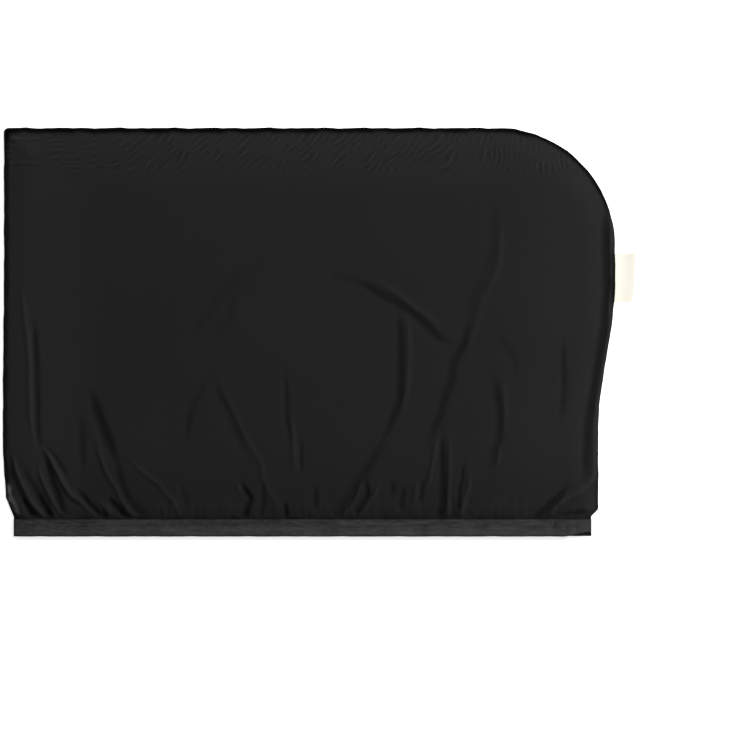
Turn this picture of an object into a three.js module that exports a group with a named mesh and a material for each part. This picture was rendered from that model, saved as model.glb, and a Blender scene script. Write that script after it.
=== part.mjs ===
// Car side window sunshade: a sleeve of black stretch mesh that is pulled over the top of
// a car door. Two panels are overlocked together along three sides, and the open side is
// gathered by a ring of woven elastic. It lies on its back panel, on a flat surface.
// Millimetres: +X along the hem, +Y from the hem to the top seam, +Z up from the surface.

import * as THREE from "three";

// Outline of the sleeve as it lies, drawn in by the elastic
const PANEL_WIDTH = 750; // left seam to the widest place of the right seam
const SHADE_HEIGHT = 500; // lower edge of the elastic to the top seam
const CORNER_RADIUS = 145; // top right, cut to a car door's window frame
const SMALL_CORNER_EASE = 0.8; // top left corner, turned tightly round the seam's allowance
const SIDE_DRAW = 23.5; // how far the right seam runs in towards the hem
const SIDE_DRAW_BELOW_CORNER = 45; // straight stretch under the round corner
const SIDE_DRAW_LENGTH = 180; // stretch over which the right seam runs in
const LEFT_DRAW = 3.5; // how far the left seam runs in above the hem
const LEFT_DRAW_FROM = 108; // height above the hem where it starts
const LEFT_DRAW_LENGTH = 58;
const HEM_DIVE_LEFT = 30; // stretch above the elastic where the left seam dives in
const HEM_DIVE_RIGHT = 18;

// Cloth, seam and elastic
const PANEL_THICKNESS = 0.6;
const LAYER_GAP = 0.3; // between layers that lie on each other
const SEAM_WIDTH = 4.5; // overlocked allowance of both panels
const SEAM_THICKNESS = 1.0;
const SEAM_INSET = 1.2; // from the fold of the edge to the allowance
const ELASTIC_WIDTH = 21;
const ELASTIC_THICKNESS = 1.0;
const ELASTIC_INSET_LEFT = 13.5; // from the left seam to the ring's left end
const ELASTIC_INSET_RIGHT = 29; // from the widest place on the right to the ring's right end
const ELASTIC_LAP = 20; // overlap of the strip's two ends
const ELASTIC_LAP_FROM_END = 46; // from the ring's right end to the lap's far end
const ELASTIC_LAP_RISE = 6; // stretch over which the upper end climbs
const HEM_INSET = 1.5; // panels end this far above the elastic's lower edge
const HEM_MARGIN = 1.5; // flat cloth above the elastic's upper edge
const HEM_RAMP = 14; // stretch where the back panel drops off the elastic

// Room in the sleeve, and how the upper panel lies over it
const SLEEVE_ROOM = 5; // free height in the mouth
const EDGE_ROLL = 18; // width of the rounded edge along the seams
const CROWN = 2.2; // fullness of the upper panel above its deepest valleys
const FULLNESS_RAMP = 13; // stretch above the elastic where the folds begin

// Blank label in the right seam
const LABEL_LENGTH = 59;
const LABEL_HEIGHT_ABOVE_HEM = 287; // its lower end
const LABEL_REACH_LOWER = 22.5; // past the seam, at its lower end
const LABEL_REACH_UPPER = 25.5; // past the seam, at its upper end
const LABEL_THICKNESS = 0.35; // one layer
const LABEL_DROP = 8; // stretch over which it drops to the surface
const LABEL_DROP_FROM = 0.06; // share of its reach before it starts to drop
const LABEL_CLEARANCE = 0.2; // above the surface

// Fineness of the surfaces
const COLUMN_PITCH = 9.8;
const ROW_PITCH_AT_HEM = 8.2;
const ROW_PITCH_GROWTH = 1.13;
const ROW_PITCH_MAX = 27;
const PLAIN_PITCH = 120; // flat stretches of plain pieces
const ROLL_STEPS = 4; // across the rounded edge
const ARC_STEPS = 14; // round the large corner
const SMALL_ARC_STEPS = 3;
const PLAIN_ARC_STEPS = 7; // round the large corner of a plain piece
const BEND_STEPS = 8; // half turn of the elastic
const LABEL_STEPS = 6; // along one layer of the label, and round its fold

// Folds of the upper panel. Each route runs through points given in hundredths of the
// panel's width from the left seam and of the shade's height from the hem. Rise is the
// height of a ridge, or the depth of a valley where negative, and reach its half width.
const FOLDS = [
  { rise: 1.7, reach: 8, route: [[3.6, 55], [4.4, 38], [4.7, 27], [5.6, 19]] },
  { rise: -1.2, reach: 6, route: [[5.2, 50], [5.3, 33], [6, 23]] },
  { rise: 3.2, reach: 6, route: [[2.2, 19], [3.3, 14], [4.9, 9], [6.3, 6]] },
  { rise: 3.2, reach: 6, route: [[5.3, 17], [6.5, 14], [7.9, 9], [9.5, 5]] },
  { rise: 2.8, reach: 7, route: [[6.5, 22], [9.5, 15], [10.9, 11], [15, 6.6], [16.3, 4.7]] },
  { rise: -1.6, reach: 5, route: [[11.4, 12], [13.6, 8.7], [16, 5]] },
  { rise: 2.6, reach: 8, route: [[13.6, 29], [15.8, 21], [18.5, 12.7], [20.6, 5.4]] },
  { rise: -1.5, reach: 7, route: [[15.2, 31], [16.3, 27], [18.7, 16]] },
  { rise: 1.7, reach: 8, route: [[20.4, 20], [22.8, 16.4], [27.1, 10], [28.4, 6]] },
  { rise: 1.5, reach: 8, route: [[33.5, 40], [31.5, 33.5], [29.6, 25]] },
  { rise: 2.3, reach: 8, route: [[34, 40], [36.6, 30], [41.1, 19], [44.4, 8.3]] },
  { rise: -1.6, reach: 6, route: [[40.8, 22.5], [43.5, 17]] },
  { rise: 1.3, reach: 13, route: [[41.9, 66], [34.6, 59.6], [32.8, 54], [30.6, 48]] },
  { rise: -1.9, reach: 8, route: [[53.7, 64], [60.2, 60], [66.7, 54.4], [73.3, 46.5]] },
  { rise: 1.6, reach: 9, route: [[61.2, 63], [63.3, 61], [68.5, 55.5], [71.1, 52.5]] },
  { rise: -2.0, reach: 9, route: [[80.5, 80], [79.7, 71], [77.4, 59.5], [74.1, 44], [71.4, 32], [70, 23]] },
  { rise: 1.8, reach: 7, route: [[70.8, 23], [70.1, 19], [69.8, 15]] },
  { rise: 2.4, reach: 6, route: [[72.7, 21], [72.5, 13], [72.5, 5]] },
  { rise: -1.7, reach: 9, route: [[64.8, 55], [64.8, 38], [62.5, 25], [59, 16], [54.9, 8]] },
  { rise: 1.4, reach: 8, route: [[66, 54], [65.8, 37.5], [64.4, 27]] },
  { rise: -1.4, reach: 7, route: [[45.7, 39], [46.5, 23]] },
  { rise: 1.7, reach: 7, route: [[47.4, 27], [47.6, 17]] },
  { rise: -1.6, reach: 6, route: [[39.5, 12.7], [40.2, 10], [39.7, 6]] },
  { rise: -1.5, reach: 9, route: [[80, 40], [81.1, 29.4], [78.9, 16.4]] },
  { rise: 1.6, reach: 8, route: [[82.2, 36], [82.8, 27], [81.1, 18]] },
  { rise: 1.8, reach: 6, route: [[76.1, 15], [75.2, 9]] },
  { rise: -1.3, reach: 8, route: [[91.3, 43], [91, 29]] },
  { rise: -1.6, reach: 8, route: [[97.1, 44], [95.4, 27], [94.9, 13]] },
  { rise: -2.0, reach: 5, route: [[92, 11], [87.4, 6]] },
  { rise: 2.4, reach: 6, route: [[93.2, 10.5], [89.8, 5.5]] },
];

// Small even gathers just above the elastic: wavelength and height of each wave
const GATHER_WAVES = [
  { length: 31, rise: 0.7, phase: 0.4 },
  { length: 47, rise: 0.6, phase: 2.1 },
];
const GATHER_REACH = 55; // height above the elastic where they have died out

// Levels of the layers, worked out from the sizes above
const backLift = ELASTIC_THICKNESS + LAYER_GAP;
const seamLevel = PANEL_THICKNESS + LAYER_GAP;
const labelLayers = 2 * LABEL_THICKNESS + LAYER_GAP;
const edgeLevel = seamLevel + Math.max(SEAM_THICKNESS, labelLayers) + LAYER_GAP;
const sleeveLevel = backLift + PANEL_THICKNESS + SLEEVE_ROOM;
const hemTop = ELASTIC_WIDTH + HEM_MARGIN;
const ringEndHeight = backLift + edgeLevel + PANEL_THICKNESS + LAYER_GAP + ELASTIC_THICKNESS;
const ringEndRadius = ringEndHeight / 2;
const cornerX = PANEL_WIDTH - CORNER_RADIUS;
const cornerY = SHADE_HEIGHT - CORNER_RADIUS;
const smallCornerRadius = SEAM_INSET + SEAM_WIDTH + SMALL_CORNER_EASE;

const clamp01 = (value) => Math.min(1, Math.max(0, value));
const mix = (from, to, share) => from + (to - from) * share;

/** Smooth step from 0 to 1. */
function ease(value) {
  const t = clamp01(value);
  return t * t * (3 - 2 * t);
}

/** How far the left seam lies in from x = 0 at height y. */
function leftSeam(y) {
  const slack = LEFT_DRAW * ease((LEFT_DRAW_FROM - y) / LEFT_DRAW_LENGTH);
  const dive = ease((hemTop + HEM_DIVE_LEFT - y) / HEM_DIVE_LEFT);
  return mix(slack, ELASTIC_INSET_LEFT + ringEndRadius, dive);
}

/** Where the right seam lies at height y, below the round corner. */
function rightSeam(y) {
  const start = cornerY - SIDE_DRAW_BELOW_CORNER;
  const slack = SIDE_DRAW * ease((start - y) / SIDE_DRAW_LENGTH);
  const dive = ease((hemTop + HEM_DIVE_RIGHT - y) / HEM_DIVE_RIGHT);
  return PANEL_WIDTH - mix(slack, ELASTIC_INSET_RIGHT + ringEndRadius, dive);
}

/** Lays a point of the undrawn panel between the two seams as they lie. */
function lay(across, up) {
  return [mix(leftSeam(up), rightSeam(up), across / PANEL_WIDTH), up];
}

/** Rounds a square corner: the square of side radius at the corner becomes a quarter disc. */
function roundCorner(across, up) {
  const left = across < smallCornerRadius;
  const radius = left ? smallCornerRadius : CORNER_RADIUS;
  const centreX = left ? smallCornerRadius : cornerX;
  const a = (across - centreX) / radius;
  const b = (up - (SHADE_HEIGHT - radius)) / radius;
  if (b <= 0 || (!left && a <= 0)) return [across, up];
  return [
    centreX + radius * a * Math.sqrt(1 - (b * b) / 2),
    SHADE_HEIGHT - radius + radius * b * Math.sqrt(1 - (a * a) / 2),
  ];
}

/** Distance of a point of the undrawn panel from the nearest sewn edge. */
function edgeDistance(across, up) {
  const sides = Math.min(across, PANEL_WIDTH - across, SHADE_HEIGHT - up);
  if (across > cornerX && up > cornerY) {
    return CORNER_RADIUS - Math.hypot(across - cornerX, up - cornerY);
  }
  return Math.max(0, sides);
}

/** Height of the back panel's underside: on the elastic at the hem, on the surface above. */
function hemLift(y) {
  return backLift * clamp01((hemTop + HEM_RAMP - y) / HEM_RAMP);
}

/** Distance from a point to the stretch between two others, all in millimetres. */
function distanceToStretch(x, y, from, to) {
  const dx = to[0] - from[0];
  const dy = to[1] - from[1];
  const t = clamp01(((x - from[0]) * dx + (y - from[1]) * dy) / (dx * dx + dy * dy));
  return Math.hypot(x - from[0] - t * dx, y - from[1] - t * dy);
}

const foldRoutes = FOLDS.map((fold) => ({
  ...fold,
  points: fold.route.map(([u, v]) => [(u / 100) * PANEL_WIDTH, (v / 100) * SHADE_HEIGHT]),
}));

/** Folds and gathers of the upper panel at a point: rounded ridges and valleys added up. */
function relief(x, y) {
  let height = 0;
  for (const fold of foldRoutes) {
    let nearest = Infinity;
    for (let i = 1; i < fold.points.length; i += 1) {
      nearest = Math.min(nearest, distanceToStretch(x, y, fold.points[i - 1], fold.points[i]));
    }
    height += fold.rise * Math.exp(-((nearest / fold.reach) ** 2));
  }
  const gathered = ease((hemTop + GATHER_REACH - y) / GATHER_REACH);
  for (const wave of GATHER_WAVES) {
    height += gathered * wave.rise * Math.sin((2 * Math.PI * x) / wave.length + wave.phase);
  }
  return Math.max(height, -CROWN);
}

/** Height of the upper panel's underside. */
function sleeveRoof(across, up, x, y) {
  const edge = edgeLevel + hemLift(y);
  const fullness = ease((y - hemTop) / FULLNESS_RAMP);
  const body = sleeveLevel + fullness * (CROWN + relief(x, y));
  const roll = Math.sin((Math.PI / 2) * clamp01(edgeDistance(across, up) / EDGE_ROLL));
  return mix(edge, body, roll);
}

/** Places from one end to the other, fine along both rounded edges. */
function spread(length, pitch, firstEdge, lastEdge) {
  const first = Array.from({ length: firstEdge ? ROLL_STEPS : 1 }, (_, i) =>
    (EDGE_ROLL * i) / ROLL_STEPS);
  const start = firstEdge ? EDGE_ROLL : 0;
  const end = lastEdge ? length - EDGE_ROLL : length;
  const steps = Math.max(1, Math.round((end - start) / pitch));
  const middle = Array.from({ length: steps + 1 }, (_, i) => mix(start, end, i / steps));
  const last = Array.from({ length: lastEdge ? ROLL_STEPS : 0 }, (_, i) =>
    length - EDGE_ROLL + (EDGE_ROLL * (i + 1)) / ROLL_STEPS);
  return [...(firstEdge ? first : []), ...middle, ...last];
}

/** Heights of the upper panel's rows: fine above the hem, wider towards the top. */
function panelRows() {
  const rows = [HEM_INSET, hemTop];
  const top = SHADE_HEIGHT - EDGE_ROLL;
  let pitch = ROW_PITCH_AT_HEM;
  let y = hemTop + pitch;
  while (y < top - pitch / 2) {
    rows.push(y);
    pitch = Math.min(ROW_PITCH_MAX, pitch * ROW_PITCH_GROWTH);
    y += pitch;
  }
  for (let i = 0; i <= ROLL_STEPS; i += 1) rows.push(top + (EDGE_ROLL * i) / ROLL_STEPS);
  return rows;
}

/** Signed volume inside a closed set of triangles: negative where they face inwards. */
function enclosedVolume(positions, index) {
  const corner = (i) => new THREE.Vector3().fromArray(positions, 3 * index[i]);
  let volume = 0;
  for (let i = 0; i < index.length; i += 3) {
    volume += corner(i).dot(corner(i + 1).cross(corner(i + 2))) / 6;
  }
  return volume;
}

/** Closed thin solid: the same grid of points on an outer and an inner face, and its rim. */
function sheetSolid(columns, rows, pointOn) {
  const wide = columns.length;
  const high = rows.length;
  const positions = [];
  for (const side of [1, 0]) {
    for (const row of rows) {
      for (const column of columns) positions.push(...pointOn(column, row, side));
    }
  }
  const index = [];
  const inner = wide * high;
  const quad = (a, b, c, d) => index.push(a, b, c, a, c, d);
  for (let j = 0; j < high - 1; j += 1) {
    for (let i = 0; i < wide - 1; i += 1) {
      const a = j * wide + i;
      const d = a + wide;
      quad(a, a + 1, d + 1, d);
      quad(inner + a, inner + d, inner + d + 1, inner + a + 1);
    }
  }
  const last = (high - 1) * wide;
  for (let i = 0; i < wide - 1; i += 1) {
    quad(i, inner + i, inner + i + 1, i + 1);
    quad(last + i, last + i + 1, inner + last + i + 1, inner + last + i);
  }
  for (let j = 0; j < high - 1; j += 1) {
    const a = j * wide;
    const b = a + wide - 1;
    quad(a, a + wide, inner + a + wide, inner + a);
    quad(b, inner + b, inner + b + wide, b + wide);
  }
  if (enclosedVolume(positions, index) < 0) index.reverse();
  const geometry = new THREE.BufferGeometry();
  geometry.setAttribute("position", new THREE.Float32BufferAttribute(positions, 3));
  geometry.setIndex(index);
  geometry.computeVertexNormals();
  return geometry;
}

/** Upper panel, with its folds and gathers. */
function frontPanel() {
  const columns = spread(PANEL_WIDTH, COLUMN_PITCH, true, true);
  return sheetSolid(columns, panelRows(), (column, row, side) => {
    const [across, up] = roundCorner(column, row);
    const [x, y] = lay(across, up);
    return [x, y, sleeveRoof(across, up, x, y) + side * PANEL_THICKNESS];
  });
}

/** Heights of the side seams' stations, with the two bends of the back panel among them. */
function seamHeights() {
  const bend = hemTop + HEM_RAMP;
  const above = panelRows().filter((y) => y > bend + LAYER_GAP && y < cornerY);
  return [HEM_INSET, hemTop, bend, ...above, cornerY];
}

/** Stations round a corner: place on the undrawn edge and inward direction. */
function arcStations(centreX, radius, fromDegrees, toDegrees, steps) {
  return Array.from({ length: steps + 1 }, (_, i) => {
    const angle = THREE.MathUtils.degToRad(mix(fromDegrees, toDegrees, i / steps));
    const outward = [Math.cos(angle), Math.sin(angle)];
    const at = [centreX + radius * outward[0], SHADE_HEIGHT - radius + radius * outward[1]];
    return { at, inward: [-outward[0], -outward[1]] };
  });
}

/** Stations along the whole sewn edge, from the hem on the left to the hem on the right. */
function seamStations() {
  const heights = seamHeights();
  const left = heights.map((y) => ({ at: [0, y], inward: [1, 0] }));
  const right = heights.slice(0, -1).map((y) => ({ at: [PANEL_WIDTH, y], inward: [-1, 0] }));
  return [
    ...left,
    ...arcStations(smallCornerRadius, smallCornerRadius, 180, 90, SMALL_ARC_STEPS),
    ...arcStations(cornerX, CORNER_RADIUS, 90, 0, ARC_STEPS),
    ...right.reverse(),
  ];
}

/** Overlocked allowance of both panels, turned inside the sleeve along the sewn edge. */
function edgeOverlock() {
  const insets = [SEAM_INSET, SEAM_INSET + SEAM_WIDTH];
  return sheetSolid(seamStations(), insets, ({ at, inward }, inset, side) => {
    const [x, y] = lay(at[0] + inward[0] * inset, at[1] + inward[1] * inset);
    return [x, y, seamLevel + hemLift(y) + side * SEAM_THICKNESS];
  });
}

/** Steps of a round corner on top of plain places, for one direction of a plain panel. */
function plainPlaces(first, length, bends) {
  const start = bends[bends.length - 1];
  const corner = length - CORNER_RADIUS;
  const steps = Math.max(1, Math.round((corner - start) / PLAIN_PITCH));
  const middle = Array.from({ length: steps }, (_, i) => mix(start, corner, i / steps));
  const round = Array.from({ length: PLAIN_ARC_STEPS }, (_, i) =>
    corner + (CORNER_RADIUS * i) / PLAIN_ARC_STEPS);
  return [first, ...bends.slice(0, -1), ...middle, ...round, length - smallCornerRadius, length];
}

/** Lower panel: flat on the surface, and lifted over the elastic along the hem. */
function backPanel() {
  const columns = plainPlaces(0, PANEL_WIDTH, [smallCornerRadius]);
  const bends = [hemTop, hemTop + HEM_RAMP];
  const drawn = panelRows().filter((y) => y > hemTop + HEM_RAMP + LAYER_GAP && y < cornerY);
  const rows = plainPlaces(HEM_INSET, SHADE_HEIGHT, bends).filter((y) => y <= bends[1] || y >= cornerY);
  rows.splice(rows.indexOf(bends[1]) + 1, 0, ...drawn);
  return sheetSolid(columns, rows, (column, row, side) => {
    const [x, y] = lay(...roundCorner(column, row));
    return [x, y, hemLift(y) + side * PANEL_THICKNESS];
  });
}

/** Middle level of the elastic over the upper panel at the hem. */
function elasticLevel(x) {
  const left = leftSeam(HEM_INSET);
  const across = (PANEL_WIDTH * (x - left)) / (rightSeam(HEM_INSET) - left);
  const roof = sleeveRoof(across, HEM_INSET, x, HEM_INSET);
  return roof + PANEL_THICKNESS + LAYER_GAP + ELASTIC_THICKNESS / 2;
}

/** Half turn of the elastic round one end of the mouth, from above to below or back. */
function elasticBend(centreX, direction) {
  const radius = ringEndRadius - ELASTIC_THICKNESS / 2;
  return Array.from({ length: BEND_STEPS - 1 }, (_, i) => {
    const angle = (Math.PI * (i + 1)) / BEND_STEPS;
    const out = [direction * Math.sin(angle), Math.cos(angle)];
    return { x: centreX + radius * out[0], z: ringEndRadius + radius * out[1], out };
  });
}

/** The elastic's middle line round the mouth: lower end, left bend, back, right bend, upper end. */
function elasticPath() {
  const left = leftSeam(HEM_INSET);
  const right = rightSeam(HEM_INSET);
  const lapEnd = PANEL_WIDTH - ELASTIC_INSET_RIGHT - ELASTIC_LAP_FROM_END;
  const lowerEnd = lapEnd + ELASTIC_LAP;
  const climb = lowerEnd + LAYER_GAP;
  const rise = ELASTIC_THICKNESS + LAYER_GAP;
  const hemPlaces = spread(PANEL_WIDTH, PLAIN_PITCH, true, true).map((s) => lay(s, HEM_INSET)[0]);
  const over = (x, lift) => ({ x, z: elasticLevel(x) + lift, out: [0, 1] });
  const under = (x) => ({ x, z: ELASTIC_THICKNESS / 2, out: [0, -1] });
  const lifted = (x) => rise * clamp01((climb + ELASTIC_LAP_RISE - x) / ELASTIC_LAP_RISE);
  const lower = hemPlaces.filter((x) => x < lowerEnd - LAYER_GAP).reverse();
  const upper = [
    ...hemPlaces.filter((x) => x > lapEnd + LAYER_GAP),
    climb + ELASTIC_LAP_RISE, climb, lapEnd,
  ].sort((a, b) => b - a);
  return [
    over(lowerEnd, 0),
    ...lower.map((x) => over(x, 0)),
    ...elasticBend(left, -1),
    under(left),
    under(mix(left, right, 1 / 2)),
    under(right),
    ...elasticBend(right, 1).reverse(),
    ...upper.map((x) => over(x, lifted(x))),
  ];
}

/** Woven elastic round the mouth: one strip whose ends lap near the right end. */
function hemElastic() {
  return sheetSolid(elasticPath(), [0, ELASTIC_WIDTH], ({ x, z, out }, y, side) => {
    const offset = (side - 1 / 2) * ELASTIC_THICKNESS;
    return [x + out[0] * offset, y, z + out[1] * offset];
  });
}

/** Where the right edge lies at height y, round corner included. */
function rightEdge(y) {
  if (y < cornerY) return rightSeam(y);
  return lay(cornerX + Math.sqrt(CORNER_RADIUS ** 2 - (y - cornerY) ** 2), y)[0];
}

/** The label's strip in section: out from the seam, round its fold, and back on top. */
function labelPath() {
  const bendRadius = (LABEL_THICKNESS + LAYER_GAP) / 2;
  const steps = Array.from({ length: LABEL_STEPS + 1 }, (_, i) => i / LABEL_STEPS);
  const below = [0, ...steps.map((share) => mix(LABEL_DROP_FROM, 1, share))];
  const leg = (share, level) => ({ share, along: 0, level, out: [0, level ? 1 : -1] });
  const bend = steps.slice(1, -1).map((share) => {
    const out = [Math.sin(Math.PI * share), -Math.cos(Math.PI * share)];
    return { share: 1, along: bendRadius * out[0], level: (1 + out[1]) / 2, out };
  });
  return [...below.map((s) => leg(s, 0)), ...bend, ...below.reverse().map((s) => leg(s, 1))];
}

/** Blank satin label, folded once, with its two ends caught in the right seam. */
function sideLabel() {
  const tail = SEAM_INSET - LAYER_GAP;
  const lengthwise = [0, 1 / 3, 2 / 3, 1];
  return sheetSolid(labelPath(), lengthwise, ({ share, along, level, out }, length, side) => {
    const y = LABEL_HEIGHT_ABOVE_HEM + length * LABEL_LENGTH;
    const reach = mix(LABEL_REACH_LOWER, LABEL_REACH_UPPER, length) - labelLayers / 2;
    const past = mix(-tail, reach, share);
    const drop = ease((past - LAYER_GAP) / LABEL_DROP);
    const foot = mix(seamLevel, LABEL_CLEARANCE, drop) + LABEL_THICKNESS / 2;
    const offset = (side - 1 / 2) * LABEL_THICKNESS;
    const x = rightEdge(y) + past + along + out[0] * offset;
    return [x, y, foot + level * (LABEL_THICKNESS + LAYER_GAP) + out[1] * offset];
  });
}

const meshFabric = new THREE.MeshStandardMaterial({ color: 0x262627, roughness: 0.92, metalness: 0 });
const sewingThread = new THREE.MeshStandardMaterial({ color: 0x1a1a1b, roughness: 0.85, metalness: 0 });
const wovenElastic = new THREE.MeshStandardMaterial({ color: 0x37373a, roughness: 0.7, metalness: 0 });
const satin = new THREE.MeshStandardMaterial({ color: 0xf6f2e4, roughness: 0.55, metalness: 0 });

/** One named piece of the shade, with a material of its own. */
function piece(name, geometry, material) {
  const mesh = new THREE.Mesh(geometry, material.clone());
  mesh.name = name;
  return mesh;
}

const shade = new THREE.Group();
shade.add(
  piece("front_panel", frontPanel(), meshFabric),
  piece("back_panel", backPanel(), meshFabric),
  piece("edge_overlock", edgeOverlock(), sewingThread),
  piece("hem_elastic", hemElastic(), wovenElastic),
  piece("side_label", sideLabel(), satin),
);

// The origin is the middle of everything, on the surface that it lies on
const middle = new THREE.Box3().setFromObject(shade).getCenter(new THREE.Vector3());
shade.position.set(-middle.x, -middle.y, 0);

export default shade;
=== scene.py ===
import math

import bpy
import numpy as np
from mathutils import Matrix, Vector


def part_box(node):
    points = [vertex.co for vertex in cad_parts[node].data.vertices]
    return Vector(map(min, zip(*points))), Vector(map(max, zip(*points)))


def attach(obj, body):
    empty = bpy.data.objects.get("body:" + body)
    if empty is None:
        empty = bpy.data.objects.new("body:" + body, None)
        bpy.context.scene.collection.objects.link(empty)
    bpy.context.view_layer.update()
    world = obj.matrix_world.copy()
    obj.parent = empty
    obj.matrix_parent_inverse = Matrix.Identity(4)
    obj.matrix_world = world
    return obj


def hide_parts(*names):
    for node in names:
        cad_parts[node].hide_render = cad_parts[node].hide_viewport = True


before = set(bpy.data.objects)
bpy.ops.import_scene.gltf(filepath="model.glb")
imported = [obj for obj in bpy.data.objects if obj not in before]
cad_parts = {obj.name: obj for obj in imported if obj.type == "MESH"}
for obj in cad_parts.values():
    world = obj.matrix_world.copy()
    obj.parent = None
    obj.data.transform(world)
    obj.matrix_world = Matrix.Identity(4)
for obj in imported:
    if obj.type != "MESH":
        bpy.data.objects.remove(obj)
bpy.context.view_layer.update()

# Looks of a car side window sunshade: a sleeve of black stretch mesh with overlocked
# edges, gathered at its mouth by a ring of woven elastic, with a blank satin label.
# Lengths are in metres. +X runs along the hem, +Y from the hem to the top seam, +Z up.

bl_info = {
    "name": "Window Sunshade",
    "version": (1, 0, 0),
    "blender": (4, 5, 0),
    "location": "3D View > Sidebar > Sunshade",
    "description": "Cloth, seams, elastic and label of a car side window sunshade",
    "category": "Add Mesh",
}

MM = 0.001

# Extent of the sleeve, from the frame
PANEL_LOW, PANEL_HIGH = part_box("front_panel")
ELASTIC_LOW, ELASTIC_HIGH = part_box("hem_elastic")
LABEL_LOW, LABEL_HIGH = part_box("side_label")
LEFT = PANEL_LOW.x
WIDTH = PANEL_HIGH.x - PANEL_LOW.x
HEM = ELASTIC_LOW.y
HEIGHT = PANEL_HIGH.y - HEM
ELASTIC_WIDTH = ELASTIC_HIGH.y - ELASTIC_LOW.y
HEM_INSET = PANEL_LOW.y - HEM
HEM_MARGIN = 1.5 * MM
HEM_TOP = ELASTIC_WIDTH + HEM_MARGIN

# Outline, as the sleeve lies: its corners, and how far its sides are drawn in and where
CORNER_RADIUS = 145 * MM
SMALL_CORNER_RADIUS = 6.5 * MM
CORNER_X = WIDTH - CORNER_RADIUS
CORNER_Y = HEIGHT - CORNER_RADIUS
SIDE_DRAW = 20.5 * MM
SIDE_DRAW_BELOW_CORNER = 45 * MM
SIDE_DRAW_LENGTH = 180 * MM
LEFT_DRAW = 3.5 * MM
LEFT_DRAW_FROM = 108 * MM
LEFT_DRAW_LENGTH = 58 * MM
LEFT_LEAN = 1.4 * MM
LEFT_LEAN_FROM = 0.3 * HEIGHT
LEFT_LEAN_LENGTH = 0.4 * HEIGHT
HEM_DIVE_LEFT = 25 * MM
HEM_DIVE_RIGHT = 12 * MM
HEM_SPREAD = 2 * MM
LOWER_INSET = 0.6 * MM
PUCKER_RAMP = 30 * MM

# Layers, from the surface up
CLOTH = 0.6 * MM
LAYER_GAP = 0.3 * MM
ELASTIC = 1.0 * MM
SEAM_THICKNESS = 1.0 * MM
SLEEVE_ROOM = 5 * MM
CROWN = 2.2 * MM
BACK_LIFT = ELASTIC + LAYER_GAP
SEAM_LEVEL = CLOTH + LAYER_GAP
EDGE_LEVEL = SEAM_LEVEL + SEAM_THICKNESS + LAYER_GAP
SLEEVE_LEVEL = BACK_LIFT + CLOTH + SLEEVE_ROOM

# Overlocked allowance, and how the upper panel rises from it
SEAM_WIDTH = 4.5 * MM
SEAM_INSET = 1.2 * MM
SEAM_FLAT = 4.2 * MM
SEAM_STEP = 0.8 * MM
LOOP_PITCH = 2.4 * MM
EDGE_ROLL = 18 * MM
SIDE_ROLL = 40 * MM
LOWER_SLEEVE = 60 * MM
HEM_RAMP = 14 * MM
FULLNESS_RAMP = 13 * MM
EDGE_CURL = 1.5 * MM
EDGE_DROP = 1.35 * MM
LABEL_DROP = 0.1 * MM
LABEL_MARGIN = 2 * MM
RIPPLE = 0.9 * MM

# Elastic: the ring that it makes, its lapped ends and its lower border
RING_END_RADIUS = (BACK_LIFT + EDGE_LEVEL + CLOTH + LAYER_GAP + ELASTIC) / 2
HEM_LEFT = ELASTIC_LOW.x - LEFT + RING_END_RADIUS
HEM_RIGHT = ELASTIC_HIGH.x - LEFT - RING_END_RADIUS
LAP = 20 * MM
LAP_RISE = 6 * MM
LAP_FROM_END = 46 * MM
LAP_END = ELASTIC_HIGH.x - LEFT - LAP_FROM_END
LAP_TAPER = 9 * MM
TUCK = 5.4 * MM
TUCK_LENGTH = 34 * MM
LAP_THINNING = 0.7
UNDER_THINNING = 0.4 * MM
STRIP_CALM = 12 * MM
STRIP_CREASE, STRIP_SWELL = 0.16 * MM, 0.12 * MM
STRIP_ROCK, STRIP_WANDER = 0.6 * MM, 0.25 * MM
STRIP_REST, TUCK_LIFT = 0.1 * MM, 0.6 * MM
OVER_STEPS, UNDER_STEPS, LAPPED_STEPS, TURN_STEPS = 330, 120, 40, 13
STRIP_STEPS = 15

# Stitches: where the rows lie on the elastic, as shares of its width, and the zigzag tacks
STITCH_ROWS = (0.52, 0.9)
STITCH_END = 2 * MM
TACK_CORNERS = np.linspace(0.08, 0.92, 15)
TACK_SWAY = 1.3 * MM
TACK_FROM_END = 4 * MM
TACK_FROM_LAP = 3 * MM

# Folds: how fast they rise above the hem and from the seam, and how high and deep they go
FOLD_RAMP = 5 * MM
FOLD_UNDER_ELASTIC = 1 * MM
FOLD_EDGE_RAMP = 4 * MM
FOLD_FADE = 34 * MM
FOLD_FOOT = 0.095 * HEIGHT
RIDGE_LIMIT = 4.5 * MM
VALLEY_LIMIT = 3.6 * MM

# Meshes: steps beside each sewn edge, then the growth of the rows and the widest one
EDGE_STEPS = np.array([0, 0.25, 0.7, 1.5, 2.7, 4, 5.6, 7.5]) * MM
ROW_GROWTH, WIDEST_ROW = 1.007, 2.9 * MM
LOWER_PITCH, LOWER_GROWTH, LOWER_WIDEST = 4 * MM, 1.04, 7 * MM

# Seeds of the uneven waves and of the gathers, so that every run draws the same ones
SIDE_PUCKER, TOP_PUCKER, BACK_RIPPLE, GATHERS = 3, 4, 8, 11
STRIP_WAVE, STRIP_TILT, STRIP_BORDER = 21, 22, 23
THIN_MIDDLE, THIN_REACH, HEM_SHADE, SEAM_WANDER = 31, 32, 33, 34

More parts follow.
